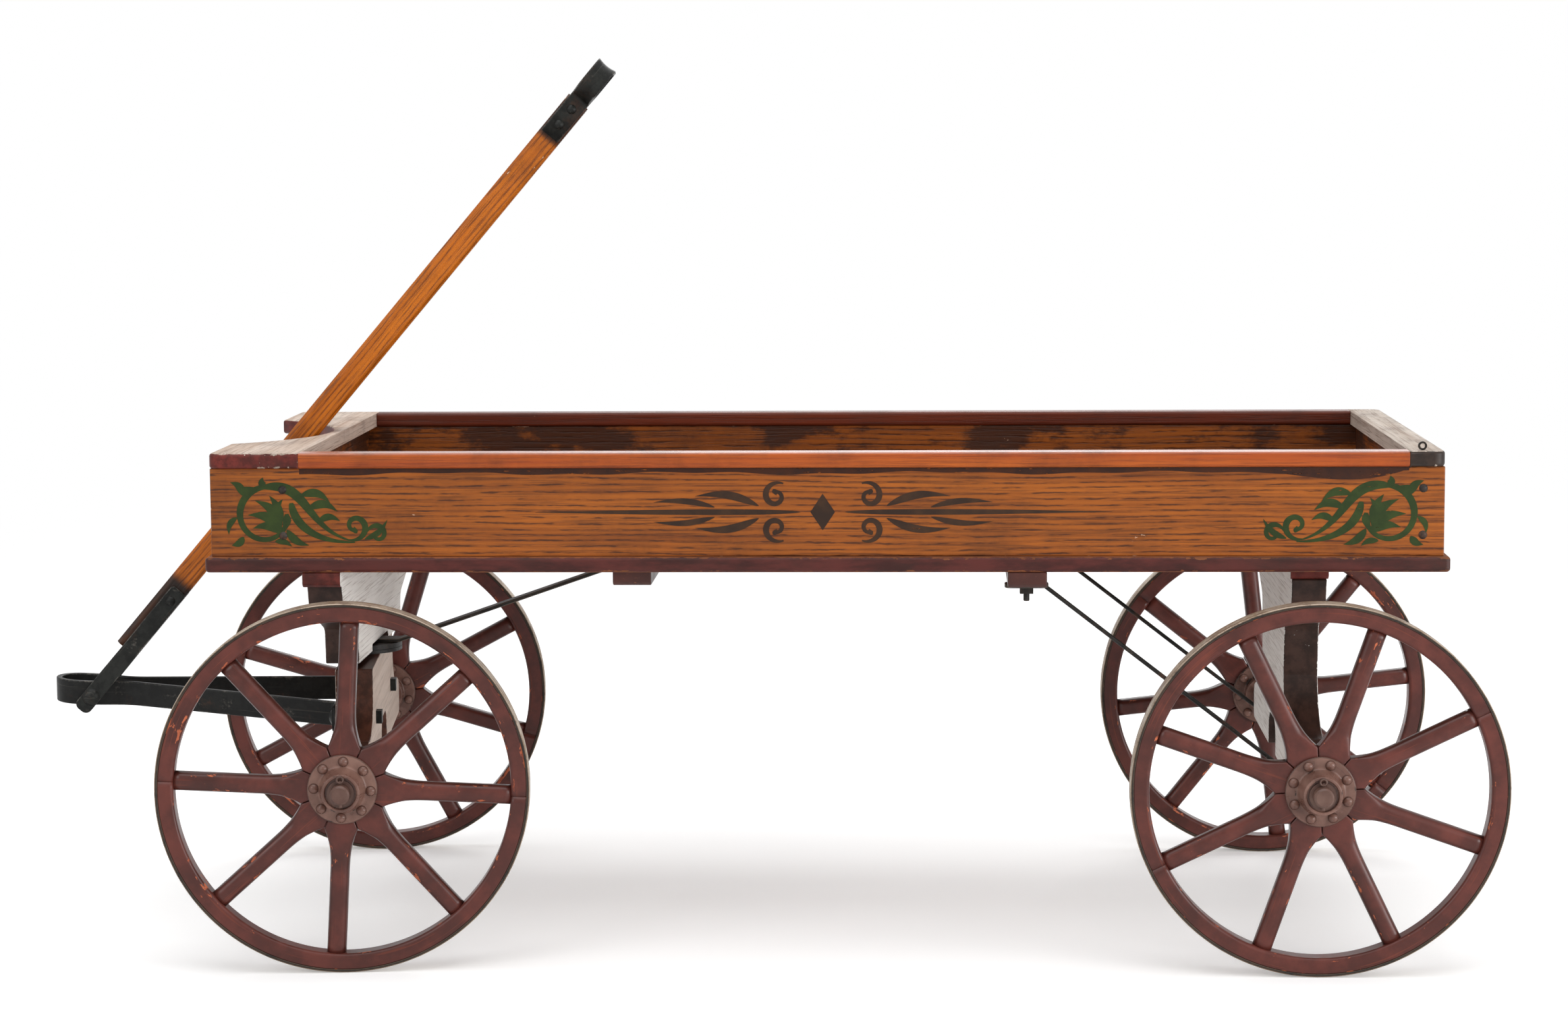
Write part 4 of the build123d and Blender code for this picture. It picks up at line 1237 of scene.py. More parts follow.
@dataclass
class WagonBox(Assembly):
    """The box: floor, boards, rails, caps and cleats, with a painted scroll at each end of its sides."""

    body: str = "wagon_box"
    floor_round: float = 4.0
    floor_edge: float = 3.0
    seam_reach: float = 2.0
    board_round: float = 1.0
    rail_round: float = 2.5
    rail_end_round: float = 0.5
    rail_end: float = 1.0
    cap_round: float = 2.5
    cap_inner_corner: float = 0.6
    cap_painted_end: float = 0.7
    sharp_share: float = 0.2
    cleat_bevel: float = 2.5
    cleat_round: float = 1.0
    mid_reach: float = 192.0
    bay_radius: float = 142.0
    bay_depth: float = 65.0
    front_corner: float = 6.0
    rear_corner: float = 9.0
    paint_lift: float = 0.12
    # The deeper patch of painted shade and dirt under the left rail (start, end, depth), and the band's depth
    # along both rails.
    shade: tuple[float, float, float] = (392.0, 541.0, 10.5)
    dirt_depth: float = 4.6

    def build(self) -> None:
        """Build every piece of the box, and dress its screws."""
        self.floor()
        self.boards()
        self.rails()
        self.caps()
        self.cleats()
        self.scrolls()
        self.rail_dirt()
        dress_nodes(BOLT_STEEL, "board_screws", "eye_screw")

    @cached_property
    def bay_centre(self) -> float:
        """Return X of the centre of the bay's round."""
        return box("side_board_left")[0][0] + self.bay_depth - self.bay_radius

    def bay(self, front: float) -> tuple[Array, float]:
        """Return the bay's round, from its left horn to its right one, and the half width of its mouth.

        Args:
            front: X of the edge that the bay is cut into.

        Returns:
            The points and the half width.
        """
        swing = math.degrees(math.acos((front - self.bay_centre) / self.bay_radius))
        points = arc((self.bay_centre, 0.0), self.bay_radius, -swing, swing, 25)
        return points, self.bay_radius * math.sin(math.radians(swing))

    def floor(self) -> None:
        """Build the two floor boards, rounded outside, nearly square at their seam and cut round in front."""
        for side, name in ((-1, "left"), (1, "right")):
            low, high = box("floor_board_" + name)
            outer, seam = (low[1], high[1]) if side < 0 else (high[1], low[1])
            bay, mouth = self.bay(low[0])
            kept = bay[side * bay[:, 1] > side * seam][::side]
            corners = [(low[0], side * mouth), (low[0], outer), (high[0], outer), (high[0], seam)]
            line, bend = rounded(corners, self.floor_round, closed=False)
            on_seam = [(self.bay_centre + math.sqrt(self.bay_radius**2 - seam**2), seam)]
            outline = np.concatenate([line, on_seam, kept[:-1]])[::-side]
            bend = np.concatenate([np.abs(bend), np.zeros(len(kept))])[::-side]
            share = np.where(np.abs(outline[:, 1] - seam) < self.seam_reach, self.sharp_share, 1.0)
            surface = plate(outline, bend, low[2], high[2], self.floor_edge, Grain.X, share)
            self.piece("floor_plank_" + name, surface, FLOOR, "floor_board_" + name)

    def boards(self) -> None:
        """Build the side and end boards, whose inner faces are the zone darkened by stain and painted shade.
        """
        for node, grain, inward in (
            ("side_board_left", Grain.X, WORLD.y),
            ("side_board_right", Grain.X, -WORLD.y),
            ("front_end_board", Grain.Y, WORLD.x),
            ("rear_end_board", Grain.Y, -WORLD.x),
        ):
            surface = slab(*box(node), self.board_round, grain, inward)
            self.piece(node.replace("board", "panel"), surface, OAK, node)

    def rails(self) -> None:
        """Build the two rails on top of the side boards, whose varnish is glossiest on top; the far one is
        darker, partly as painted shade.
        """
        # The far rail takes a darker copy of the rail's varnish, partly painted shade.
        for name, finish in (("left", RAIL_OAK), ("right", FAR_RAIL_DARK_AND_SHADED)):
            low, high = box("side_rail_" + name)
            outline, bend = rounded(rectangle(low[1:], high[1:]), self.rail_round)
            surface = plate(outline, bend, low[0], high[0], self.rail_end_round, Grain.Z).placed(ACROSS)
            upward = 0.5 + 0.5 * unit(line_normals(outline, closed=True))[:, 1]
            zone = np.tile(upward, len(surface.zone) // len(upward))
            from_ends = np.minimum(surface.points[:, 0] - low[0], high[0] - surface.points[:, 0])
            surface = replace(surface, zone=zone, edge=surface.edge * (from_ends > self.rail_end))
            self.piece("side_moulding_" + name, surface, finish, "side_rail_" + name)

    def caps(self) -> None:
        """Build the front cap with its bay and the rear cap, sharp and bare where they look into the box."""
        low, high = box("front_cap")
        bay, mouth = self.bay(low[0])
        half = [(low[0], mouth), (low[0], high[1]), (high[0], high[1])]
        corners, radii = mirrored(half, (0.0, self.front_corner, self.cap_inner_corner), 1)
        line, bend = rounded(corners, radii, closed=False)
        outline = np.concatenate([line, bay[1:-1]])[::-1]
        bend = np.abs(np.concatenate([bend, np.zeros(len(bay) - 2)])[::-1])
        rows = [("front_cap", outline, bend, outline[:, 0] > high[0] - NEAR_EDGE, CAP)]
        low, high = box("rear_cap")
        radii = (self.cap_inner_corner, self.rear_corner, self.rear_corner, self.cap_inner_corner)
        outline, bend = rounded(rectangle(low, high), radii)
        rows.append(("rear_cap", outline, bend, outline[:, 0] < low[0] + NEAR_EDGE, REAR_CAP))
        for node, outline, bend, inner, finish in rows:
            low, high = box(node)
            share = np.where(inner, self.sharp_share, 1.0)
            surface = plate(outline, bend, low[2], high[2], self.cap_round, Grain.Y, share)
            bare = np.tile(inner, len(surface.zone) // len(inner))
            bare &= np.abs(surface.points[:, 1]) < high[1] - self.cap_painted_end
            surface = replace(surface, zone=np.where(bare, 1.0, surface.zone))
            self.piece(node + "_board", surface, finish, node)

    def cleats(self) -> None:
        """Build the four cleats, bevelled below at both ends; the front mid one is longer than its solid."""
        cut = self.cleat_bevel
        for name in ("front", "front_mid", "rear_mid", "rear"):
            low, high = box(name + "_cleat")
            reach = self.mid_reach if name == "front_mid" else high[1]
            half = [(reach - cut, low[2]), (reach, low[2] + cut), (reach, high[2])]
            outline, bend = rounded(*mirrored(half, [self.cleat_round + 2.0 * SUPPORT] * 3, 0))
            surface = plate(outline, bend, low[0], high[0], self.cleat_round, Grain.X).placed(ACROSS)
            finish = CLEAT if "mid" in name else CLEAT_END
            self.piece(name + "_batten", surface, finish, name + "_cleat")

    def scrolls(self) -> None:
        """Paint a leafy scroll at both ends of each side, and a flourish between them."""
        ornament = ScrollOrnament()
        for side, name in SIDES:
            low, high = box("side_board_" + name)
            face = (low if side < 0 else high)[1] + side * self.paint_lift
            middle = (low + high) / 2
            for label, x, along, surface, finish in (
                ("scroll_front_", low[0] + ornament.margin, 1.0, ornament.leaves(), GREEN),
                ("scroll_rear_", high[0] - ornament.margin, -1.0, ornament.leaves(), GREEN),
                ("flourish_", middle[0], 1.0, ornament.flourish(), BROWN),
            ):
                axes = Axes(np.array((x, face, middle[2])), along * WORLD.x, UP, side * WORLD.y)
                self.piece(label + name, surface.placed(axes), finish)

    def rail_dirt(self) -> None:
        """Lay painted shade and old dirt on the boards under their rails, with a deeper patch near the rear
        of the left one.

        The lower edge of the band of painted shade and dirt is a straight line with two sines of different
        length added; the patch's dips as a sine and rises to both ends.
        """
        share = np.linspace(0.0, 1.0, 161)
        for side, name in SIDES:
            low, high = box("side_rail_" + name)
            board = box("side_board_" + name)
            run = low[0] + share * (high[0] - low[0])
            wave = 1.0 + 0.2 * np.sin(run / 31.0) + 0.14 * np.sin(run / 11.0 + side)
            strokes = [(run, self.dirt_depth / 2 * wave)]
            if side < 0:
                start, finish, dip = self.shade
                patch = dip / 2 * np.sin(np.pi * share**1.6) ** 0.8 + 0.05
                strokes.append((start + share * (finish - start), patch))
            parts = [
                ScrollOrnament.stroke(np.stack([along, board[1][2] - depth], axis=1), depth)
                for along, depth in strokes
            ]
            face = board[0 if side < 0 else 1][1] + side * self.paint_lift / 2
            axes = Axes(np.array((0.0, face, 0.0)), WORLD.x, UP, side * WORLD.y)
            self.piece("rail_dirt_" + name, ScrollOrnament.layered(parts).placed(axes), RAIL_SHADE_AND_DIRT)


@dataclass
class ScrollOrnament:
    """A traditional painted ornament of tapering strokes: a leafy scroll, and a flourish of swelled rules."""

    margin: float = 15.0
    rule_start: float = 18.0
    rule_end: float = 235.0
    rule_width: float = 4.6
    lozenge: Point = (10.0, 15.0)
    least_half: float = 0.08
    layer: ClassVar[float] = 0.012

    @staticmethod
    def stroke(centre: Array, half_width: Array) -> Surface:
        """Make a brush stroke: two lines set off each side of a centre line by its half width.

        Args:
            centre: Points of the centre line.
            half_width: Half width at each point.

        Returns:
            A flat surface in local axes.
        """
        off = half_width[:, None] * line_normals(centre, closed=False)
        flat = np.stack([centre - off, centre + off], axis=1)
        points = np.dstack([flat, np.zeros(flat.shape[:2])])
        return Surface.grid(points, 0.0, 0.0, points, (False, False), ends=False)

    @classmethod
    def layered(cls, parts: Sequence[Surface]) -> Surface:
        """Join strokes, each raised a hair over the one before, so that no two lie in one plane."""
        lifts = [cls.layer * number * UP for number in range(len(parts))]
        return Surface.joined([replace(part, points=part.points + lift) for part, lift in zip(parts, lifts)])

    def volute(self, eye: Point, radii: Point, start: float, turns: float, width: float) -> Surface:
        """Make a volute: its radius shrinks by the same share at each step, and it ends in a drop at the eye.

        Args:
            eye: Centre of the volute.
            radii: Radius where it starts and where it ends.
            start: Angle where it starts, in degrees.
            turns: Turns that it makes; a negative number winds clockwise.
            width: Widest half width.

        Returns:
            The stroke.
        """
        share = np.linspace(0.0, 1.0, 80)
        angle = math.radians(start) + share * turns * 2.0 * math.pi
        radius = radii[0] * (radii[1] / radii[0]) ** share
        line = np.stack([eye[0] + radius * np.cos(angle), eye[1] + radius * np.sin(angle)], axis=1)
        swell = np.sin(np.pi * np.minimum(share * 1.4 + 0.06, 0.62))
        drop = 0.7 * np.exp(-(((share - 0.95) / 0.05) ** 2)) * np.sqrt(np.clip(1.0 - share, 0.0, 1.0) * 12.0)
        return self.stroke(line, width * (swell * (1.0 - 0.55 * share) + drop) + self.least_half)

    def leaf(self, root: Point, tip: Point, bow: float, width: float) -> Surface:
        """Make a leaf: a bowed line from root to tip whose width swells as a sine and ends in a point.

        Args:
            root: Where the leaf starts.
            tip: Where it ends.
            bow: Height of the bow beside the straight line.
            width: Widest half width.

        Returns:
            The stroke.
        """
        share = np.linspace(0.0, 1.0, 40)
        start, finish = np.array(root, float), np.array(tip, float)
        way = finish - start
        across = unit(np.array((-way[1], way[0])))
        line = start + share[:, None] * way + (bow * np.sin(np.pi * share))[:, None] * across
        return self.stroke(line, width * np.sin(np.pi * share**0.75) + self.least_half)

    def stem(self, bends: Sequence[Point], width: float) -> Surface:
        """Make a stem along the cubic curve of four control points, thick at first and fine at its end.

        Args:
            bends: The control points.
            width: Widest half width.

        Returns:
            The stroke.
        """
        share = np.linspace(0.0, 1.0, 60)
        left = 1.0 - share
        weights = np.stack([left**3, 3 * share * left**2, 3 * share**2 * left, share**3], axis=1)
        swell = np.sin(np.pi * np.sqrt(share * 0.9 + 0.02))
        return self.stroke(weights @ np.array(bends, float), width * swell + self.least_half)

    def leaves(self) -> Surface:
        """Draw the scroll: a ring round a spray of leaves, a stem with side leaves and a curled tail.

        Returns:
            The scroll's strokes in layers.
        """
        parts = [
            self.volute((31.0, -3.0), (25.0, 17.0), 64.0, 0.84, 3.4),
            self.volute((104.0, -11.0), (12.5, 3.0), -112.0, 1.15, 3.0),
            self.volute((123.0, -18.0), (9.0, 3.0), 165.0, -0.95, 2.6),
            self.stem(((30.0, 21.0), (66.0, 27.0), (62.0, -12.0), (100.0, -23.0)), 4.0),
            self.stem(((52.0, 8.0), (54.0, -12.0), (74.0, -25.0), (104.0, -24.5)), 3.4),
        ]
        leaves = (
            ((44, -17), (20, -13), -4.0, 3.6), ((44, -15), (16, -2), -5.0, 4.2),
            ((43, -13), (22, 10), -5.0, 4.2), ((42, -10), (34, 14), -3.0, 3.8),
            ((40, -8), (45, 11), 3.0, 3.2), ((24, 20), (5, 24), 4.0, 3.6),
            ((12, 14), (2, 25), -3.0, 3.2), ((31, 21), (29, 29), 2.0, 3.0),
            ((12, -20), (2, -27), 2.0, 3.0), ((7, -4), (0, -18), -3.0, 2.4),
            ((60, 14), (84, 8), 5.0, 3.4), ((66, 3), (90, 1), 5.0, 3.4),
            ((74, -8), (92, -7), 4.0, 2.8), ((48, -14), (66, -27), -3.0, 3.2),
            ((38, -24), (52, -28), 2.0, 2.4), ((112, -22), (131, -6), -3.0, 2.4),
        )
        return self.layered(parts + [self.leaf(*row) for row in leaves])

    def flourish(self) -> Surface:
        """Draw the flourish: two swelled rules that meet at a lozenge, with curls and leaves about it.

        Returns:
            The flourish's strokes in layers.
        """
        share = np.linspace(0.0, 1.0, 81)
        swell = self.rule_width / 2 * np.sin(np.pi * share**0.6) + 0.1
        diamond = np.linspace(-1.0, 1.0, 21)[:, None] * (1.0, 0.0)
        long, wide = self.lozenge
        parts = [self.stroke(diamond * long, wide * (1.0 - np.abs(diamond[:, 0])) + 0.05)]
        for side in (1.0, -1.0):
            run = self.rule_start + share * (self.rule_end - self.rule_start)
            parts.append(self.stroke(run[:, None] * (side, 0.0), swell))
            for rise in (1.0, -1.0):
                spin = side * rise
                start = 270.0 - side * 90.0 - spin * 60.0
                eye, *ends = np.array(((38, 13), (52, 5), (104, 13), (88, 4), (138, 8))) * (side, rise)
                parts.append(self.volute(eye, (12.0, 3.0), start, -1.2 * spin, 2.8))
                parts.append(self.leaf(*ends[:2], 5.0 * spin, 3.2))
                parts.append(self.leaf(*ends[2:], 3.0 * spin, 2.4))
        return self.layered(parts)


@dataclass(frozen=True)
class Stand:
    """What the bolsters and the axle block share: timber on flared feet, with an arch between them."""

    bottom: float = 141.0
    arch: Point = (31.0, 171.0)
    arch_round: float = 15.0
    tip_rounds: Sizes = (9.0, 6.0)
    corner_round: float = 1.6
    edge_round: float = 1.2

    def flank(self, hollow: Sequence[Point], tip: Point) -> tuple[list[Point], list[float]]:
        """Return one flank, with the radii of its corners.

        It runs down the circle through the points of its hollow, out to the foot's tip, under it and in to
        the arch.

        Args:
            hollow: Upper end, middle and lower end of the hollow.
            tip: The foot's upper outer corner.

        Returns:
            Corners from the hollow to the top of the arch, and their radii.
        """
        curve = [tuple(point) for point in arc_through(hollow, 17)]
        corners = [*curve, tip, (tip[0], self.bottom), (self.arch[0], self.bottom), self.arch]
        sharp = self.corner_round
        return corners, [sharp, *[0.0] * (len(curve) - 2), sharp, *self.tip_rounds, sharp, self.arch_round]

    def timber(self, half: Sequence[Point], radii: Sequence[float], low: float, high: float) -> Surface:
        """Make the timber between two faces from the corners of its right half, listed from the top down."""
        corners, rounds = mirrored(half, radii, 0)
        return plate(*rounded(corners[::-1], rounds[::-1]), low, high, self.edge_round, Grain.X)


STAND = Stand()


@dataclass
class PinEyes(Assembly):
    """The eyes of the split pins that hold two wheels on their axle."""

    body: str
    wheels: tuple[str, str]
    reach: float = 30.5
    rise: float = 11.6
    radius: float = 2.6
    wire: float = 0.9

    def build(self) -> None:
        """Build a ring of round wire over both ends of the axle: a circle turned about the hole's axis."""
        circle, bend = rod_section(self.wire)
        ring = lathe(circle + (self.radius, 0.0), bend, 32, closed=True)
        parts = []
        for wheel in self.wheels:
            place, _, outward = axle_end(wheel)
            centre = place + self.reach * outward + self.rise * UP
            parts.append(ring.placed(Axes(centre, np.cross(UP, outward), UP, outward)))
        self.piece(self.body + "_pin_eyes", Surface.joined(parts), AXLE_PAINT)


@dataclass
class Undercarriage(Assembly):
    """The bolsters under the box, the rear axle and the iron that braces them."""

    body: str = "wagon_box"
    front_arm: tuple[Point, ...] = ((191.0, 311.8), (184.0, 289.0), (115.0, 264.0))
    front_foot: Point = (112.0, 234.0)
    front_relief: Point = (44.0, 240.0)
    rear_arm: tuple[Point, ...] = ((154.0, 311.8), (149.0, 290.0), (97.0, 265.0))
    rear_hollow: tuple[Point, ...] = ((92.0, 222.0), (106.0, 194.0), (150.0, 177.0))
    rear_tip: Point = (168.0, 172.0)
    arm_rounds: Sizes = (STAND.corner_round, 9.0, 10.0)
    strap_thickness: float = 3.0
    strap_width: float = 20.0
    strap_edge: float = 0.7
    strap_bend: float = 12.0
    strap_rise: Point = (32.0, -14.5)
    rod_radius: float = 1.75
    rod_y: float = 176.0
    rod_lead: float = 14.0
    rod_wrap: float = 285.0
    rod_slack: float = 0.1
    pad_size: tuple[float, float, float] = (36.0, 18.0, 3.4)
    pad_round: float = 6.0
    pad_edge: float = 0.6
    axle_radius: float = 7.9375
    nut_height: float = 5.0
    bolt_end: Point = (2.5, 6.5)
    bolt_end_round: float = 0.8
    bolt_sink: float = 0.5

    def build(self) -> None:
        """Build the bolsters and the braces, and dress the axle, the bolts and the turning plate."""
        self.bolsters()
        self.front_brace()
        self.stay_rods()
        PinEyes(self.body, ("rear_left_wheel", "rear_right_wheel")).build()
        dress_nodes(AXLE_PAINT, "rear_axle", "rear_axle_pins")
        dress_nodes(BOLT_STEEL, "king_bolt", "floor_bolts")
        dress_nodes(ROD_IRON, "fifth_wheel_upper")

    def bolsters(self) -> None:
        """Build the front bolster, relieved over its plates, and the rear one, hollow-sided and arched."""
        side, height = self.front_relief
        front = [*self.front_arm, self.front_foot, (side, self.front_foot[1]), (side, height)]
        flank, radii = STAND.flank(self.rear_hollow, self.rear_tip)
        for node, half, rounds in (
            ("front_bolster", front, [STAND.corner_round] * 3),
            ("rear_bolster", [*self.rear_arm, *flank], radii),
        ):
            low, high = box(node)
            surface = STAND.timber(half, [*self.arm_rounds, *rounds], low[0], high[0])
            self.piece(node + "_timber", surface.placed(ACROSS), BOLSTER, node)

    def front_brace(self) -> None:
        """Build the flat strap from under the front bolster up to the front mid cleat."""
        low, high = box("front_brace")
        axle_x, cleat_x = (sum(box(node))[0] / 2 for node in ("front_bolster", "front_mid_cleat"))
        bottom, top = low[2] + self.strap_thickness / 2, high[2] - self.strap_thickness / 2
        first, second = self.strap_rise
        corners = [(low[0], bottom), (axle_x + first, bottom), (cleat_x + second, top), (high[0], top)]
        path, _ = rounded(corners, self.strap_bend, closed=False)
        section = bar_section(self.strap_thickness, self.strap_width, self.strap_edge)
        self.piece("front_brace_strap", strip(path, *section, ALONG), ROD_IRON, "front_brace")

    def stay_rods(self) -> None:
        """Build the round stays from bolted pads under the rear mid cleat to hooks round the rear axle.

        A stay leaves its pad on the line that touches the hook's circle. The bolts' ends below their nuts are
        a profile turned about Z.
        """
        cleat = box("rear_mid_cleat")
        pad_x, pad_top = (cleat[0][0] + cleat[1][0]) / 2, cleat[0][2]
        long, wide, thick = self.pad_size
        axle = joint("rear_left_wheel_spin")[0][[0, 2]]
        start = np.array((pad_x + self.rod_lead, pad_top - self.rod_radius))
        hook = self.axle_radius + self.rod_radius + self.rod_slack
        way = axle - start
        angle = math.atan2(way[1], way[0]) - math.asin(hook / float(np.linalg.norm(way)))
        touch = math.degrees(angle) - 90.0
        wrap = arc(axle, hook, touch, touch + self.rod_wrap, 40)
        path = np.concatenate([[start, start + 0.02 * (wrap[0] - start)], wrap])
        corners = rectangle((pad_x - long / 2, -wide / 2), (pad_x + long / 2, wide / 2))
        pad = plate(*rounded(corners, self.pad_round), pad_top - thick, pad_top, self.pad_edge, Grain.X)
        parts = []
        for y in (-self.rod_y, self.rod_y):
            parts.append(strip(path, *rod_section(self.rod_radius), replace(ALONG, origin=y * WORLD.y)))
            parts.append(pad.placed(WORLD.moved(0.0, y, 0.0)))
        self.piece("stay_rods", Surface.joined(parts), ROD_IRON, "rear_braces")
        radius, length = self.bolt_end
        corners = rectangle((0.0, -length), (radius, self.bolt_sink))
        one = lathe(*rounded(corners, (0.0, self.bolt_end_round, 0.0, 0.0), closed=False), 24)
        nut = pad_top - thick - self.nut_height
        parts = [one.placed(WORLD.moved(pad_x, y, nut)) for y in (-self.rod_y, self.rod_y)]
        self.piece("stay_bolt_ends", Surface.joined(parts), ROD_IRON)


def gear_axes() -> Axes:
    """Return the axes of the turned front gear: X along the wagon from its axle, Y along the axle, Z up."""
    place, along = joint("steering")[0], joint("front_left_wheel_spin")[1]
    return Axes(np.array((place[0], place[1], 0.0)), np.cross(along, UP), along, UP)


@dataclass
class FrontGear(Assembly):
    """The steered front: axle block, turning plate, axle and the bent iron draw-bar."""

    body: str = "front_gear"
    block_top: Point = (116.0, 229.7)
    block_hollow: tuple[Point, ...] = ((116.0, 204.0), (129.0, 186.0), (170.0, 177.0))
    block_tip: Point = (188.0, 172.0)
    block_thickness: float = 32.0
    top_round: float = 2.0
    band_thickness: float = 5.0
    band_height: float = 21.0
    band_edge: float = 1.1
    foot_z: float = 184.0
    nose_z: float = 197.0
    pivot_x: float = -237.0
    foot_y: float = 99.0
    corner_y: float = 70.0
    neck: Point = (-205.0, 11.5)
    cheek_x: float = -236.0
    nose: Point = (-268.0, 20.0)
    band_rounds: Sizes = (0.0, 8.0, 40.0, 30.0, 19.5)

    def build(self) -> None:
        """Build the block and the draw-bar, and dress the axle, bolts and plate."""
        self.block()
        self.draw_bar()
        PinEyes(self.body, ("front_left_wheel", "front_right_wheel")).build()
        dress_nodes(AXLE_PAINT, "front_axle", "front_axle_pins")
        dress_nodes(BLACK_IRON, "draw_bar_bolts")
        dress_nodes(ROD_IRON, "fifth_wheel_lower")

    def block(self) -> None:
        """Build the axle block, hollow-sided and arched."""
        axes, depth = gear_axes(), self.block_thickness / 2
        flank, radii = STAND.flank(self.block_hollow, self.block_tip)
        surface = STAND.timber([self.block_top, *flank], [self.top_round, *radii], -depth, depth)
        across = Axes(axes.origin, axes.y, UP, axes.x)
        self.piece("axle_block_timber", surface.placed(across), BLOCK, "front_axle_block")

    def draw_bar(self) -> None:
        """Build the draw-bar: an upright band from foot to foot round the nose, on a rising plane."""
        axes = gear_axes()
        foot_x = -(self.block_thickness + self.band_thickness) / 2
        slope = math.atan2(self.nose_z - self.foot_z, foot_x - self.pivot_x)
        cheek = (self.cheek_x, self.nose[1])
        plan = [(foot_x, self.foot_y), (foot_x, self.corner_y), self.neck, cheek, self.nose]
        half = [((x - foot_x) / math.cos(slope), y) for x, y in plan]
        path, _ = rounded(*mirrored(half, self.band_rounds, 1), closed=False, steps=14)
        section = bar_section(self.band_thickness, self.band_height, self.band_edge)
        run = math.cos(slope) * axes.x - math.sin(slope) * UP
        rising = Axes(axes.at(foot_x, 0.0, self.foot_z), run, axes.y, UP)
        self.piece("draw_bar_band", strip(path, *section, rising), BAR_IRON, "draw_bar")


@dataclass
class DrawHandle(Assembly):
    """The draw handle: a bevelled bar between fork straps, with a bent iron grip at its end."""

    body: str = "draw_handle"
    tilt: float = 49.75
    bar_start: float = 50.0
    bar_end: float = 672.0
    bar_rise: float = 3.1
    bar_depth: float = 21.0
    bar_width: float = 26.0
    bar_bevel: float = 3.0
    bar_round: float = 1.2
    fork_thickness: float = 3.0
    fork_width: float = 15.0
    fork_edge: float = 0.7
    fork_y: float = 24.4
    fork_end: float = -15.0
    fork_end_round: float = 5.5
    fork_tip_cut: float = 2.0
    fork_joggle: Point = (26.0, 46.0)
    fork_tip: float = 120.0
    fork_bend: float = 8.0
    stain_reach: Point = (18.0, 8.0)
    fork_rivet: float = 108.0
    grip_rivets: Sizes = (646.0, 663.0)
    rivet_head: float = 4.2
    rivet_dome: float = 2.0
    grip_start: float = 633.0
    grip_thickness: float = 3.2
    grip_width: float = 18.0
    grip_edge: float = 1.0
    grip_flat: float = 1.6
    grip_neck: float = 676.0
    grip_flare: float = 686.0
    grip_bar: float = 711.0
    grip_half: float = 46.0
    grip_rounds: Sizes = (0.0, 6.0, 10.0, 8.0)
    grip_hollow: float = 1.4
    hollow_lead: float = 4.0

    @cached_property
    def axes(self) -> Axes:
        """Place the straps' axes at the pivot.

        Returns:
            X along the handle, Y across it and Z through its depth.
        """
        gear, lean = gear_axes(), math.radians(self.tilt)
        along = math.cos(lean) * gear.x + math.sin(lean) * UP
        return Axes(joint("handle_tilt")[0], along, gear.y, np.cross(along, gear.y))

    @cached_property
    def raised(self) -> Axes:
        """Return the axes of the bar and the grip, which stand a little above the pivot."""
        return self.axes.moved(0.0, 0.0, self.bar_rise)

    def build(self) -> None:
        """Build the bar, straps, grip and rivets, and dress the pivot bolt."""
        self.bar()
        self.straps()
        self.grip()
        self.rivets()
        dress_nodes(BLACK_IRON, "handle_bolt")

    def bar(self) -> None:
        """Build the wooden bar: its bevelled section carried along the handle, stained dark beside the irons.

        The stain falls off in a straight line away from the straps' tips and from the grip's start.
        """
        half, deep, cut = self.bar_width / 2, self.bar_depth / 2, self.bar_bevel
        right = [(half - cut, -deep), (half, -deep + cut), (half, deep - cut), (half - cut, deep)]
        outline, bend = rounded(*mirrored(right, [self.bar_round] * 4, 0), steps=3)
        runs = np.linspace(self.bar_start, self.bar_end, 90)
        surface = strip(runs[:, None] * (1.0, 0.0), outline, bend, self.raised)
        low, high = self.stain_reach
        away = np.minimum((runs - self.fork_tip) / low, (self.grip_start - runs) / high)
        zone = 0.4 + 0.6 * np.clip(1.0 - away, 0.0, 1.0)
        surface = replace(surface, zone=np.repeat(zone, len(outline)))
        self.piece("handle_pole", surface, HANDLE_OAK, "handle_bar")

    def straps(self) -> None:
        """Build the two fork straps, round-cornered at the pivot and cut at their tips on the bar.

        A strap's half width falls off as a quarter circle at its lower end and in a straight line at its tip.
        """
        seat = (self.bar_width + self.fork_thickness) / 2
        runs = (self.fork_end, *self.fork_joggle, self.fork_tip)
        corners = list(zip(runs, (-self.fork_y, -self.fork_y, -seat, -seat)))
        path, _ = rounded(corners, self.fork_bend, closed=False, steps=8)
        half, turn = self.fork_width / 2, np.linspace(0.0, np.pi / 2, 10)
        end = self.fork_end + self.fork_end_round * (1.0 - np.cos(turn))
        tip = np.array((self.fork_tip - self.fork_tip_cut, self.fork_tip))
        runs = np.unique(np.concatenate([end, path[1:-1, 0], tip]))
        fine = np.stack([runs, np.interp(runs, path[:, 0], path[:, 1])], axis=1)
        into = np.clip(1.0 - (runs - self.fork_end) / self.fork_end_round, 0.0, 1.0)
        width = half - self.fork_end_round * (1.0 - np.sqrt(1.0 - into**2))
        width = width - np.clip(runs - tip[0], 0.0, self.fork_tip_cut)
        section, bend = bar_section(self.fork_thickness, self.fork_width, self.fork_edge)
        narrow = np.ones((len(runs) * len(section), 3))
        narrow[:, 2] = np.repeat(width / half, len(section))
        made = [strip(fine * (1.0, side), section, bend, WORLD) for side in (1.0, -1.0)]
        parts = [replace(one, points=self.axes.place(one.points * narrow)) for one in made]
        self.piece("fork_straps", Surface.joined(parts), BLACK_IRON, "handle_straps")

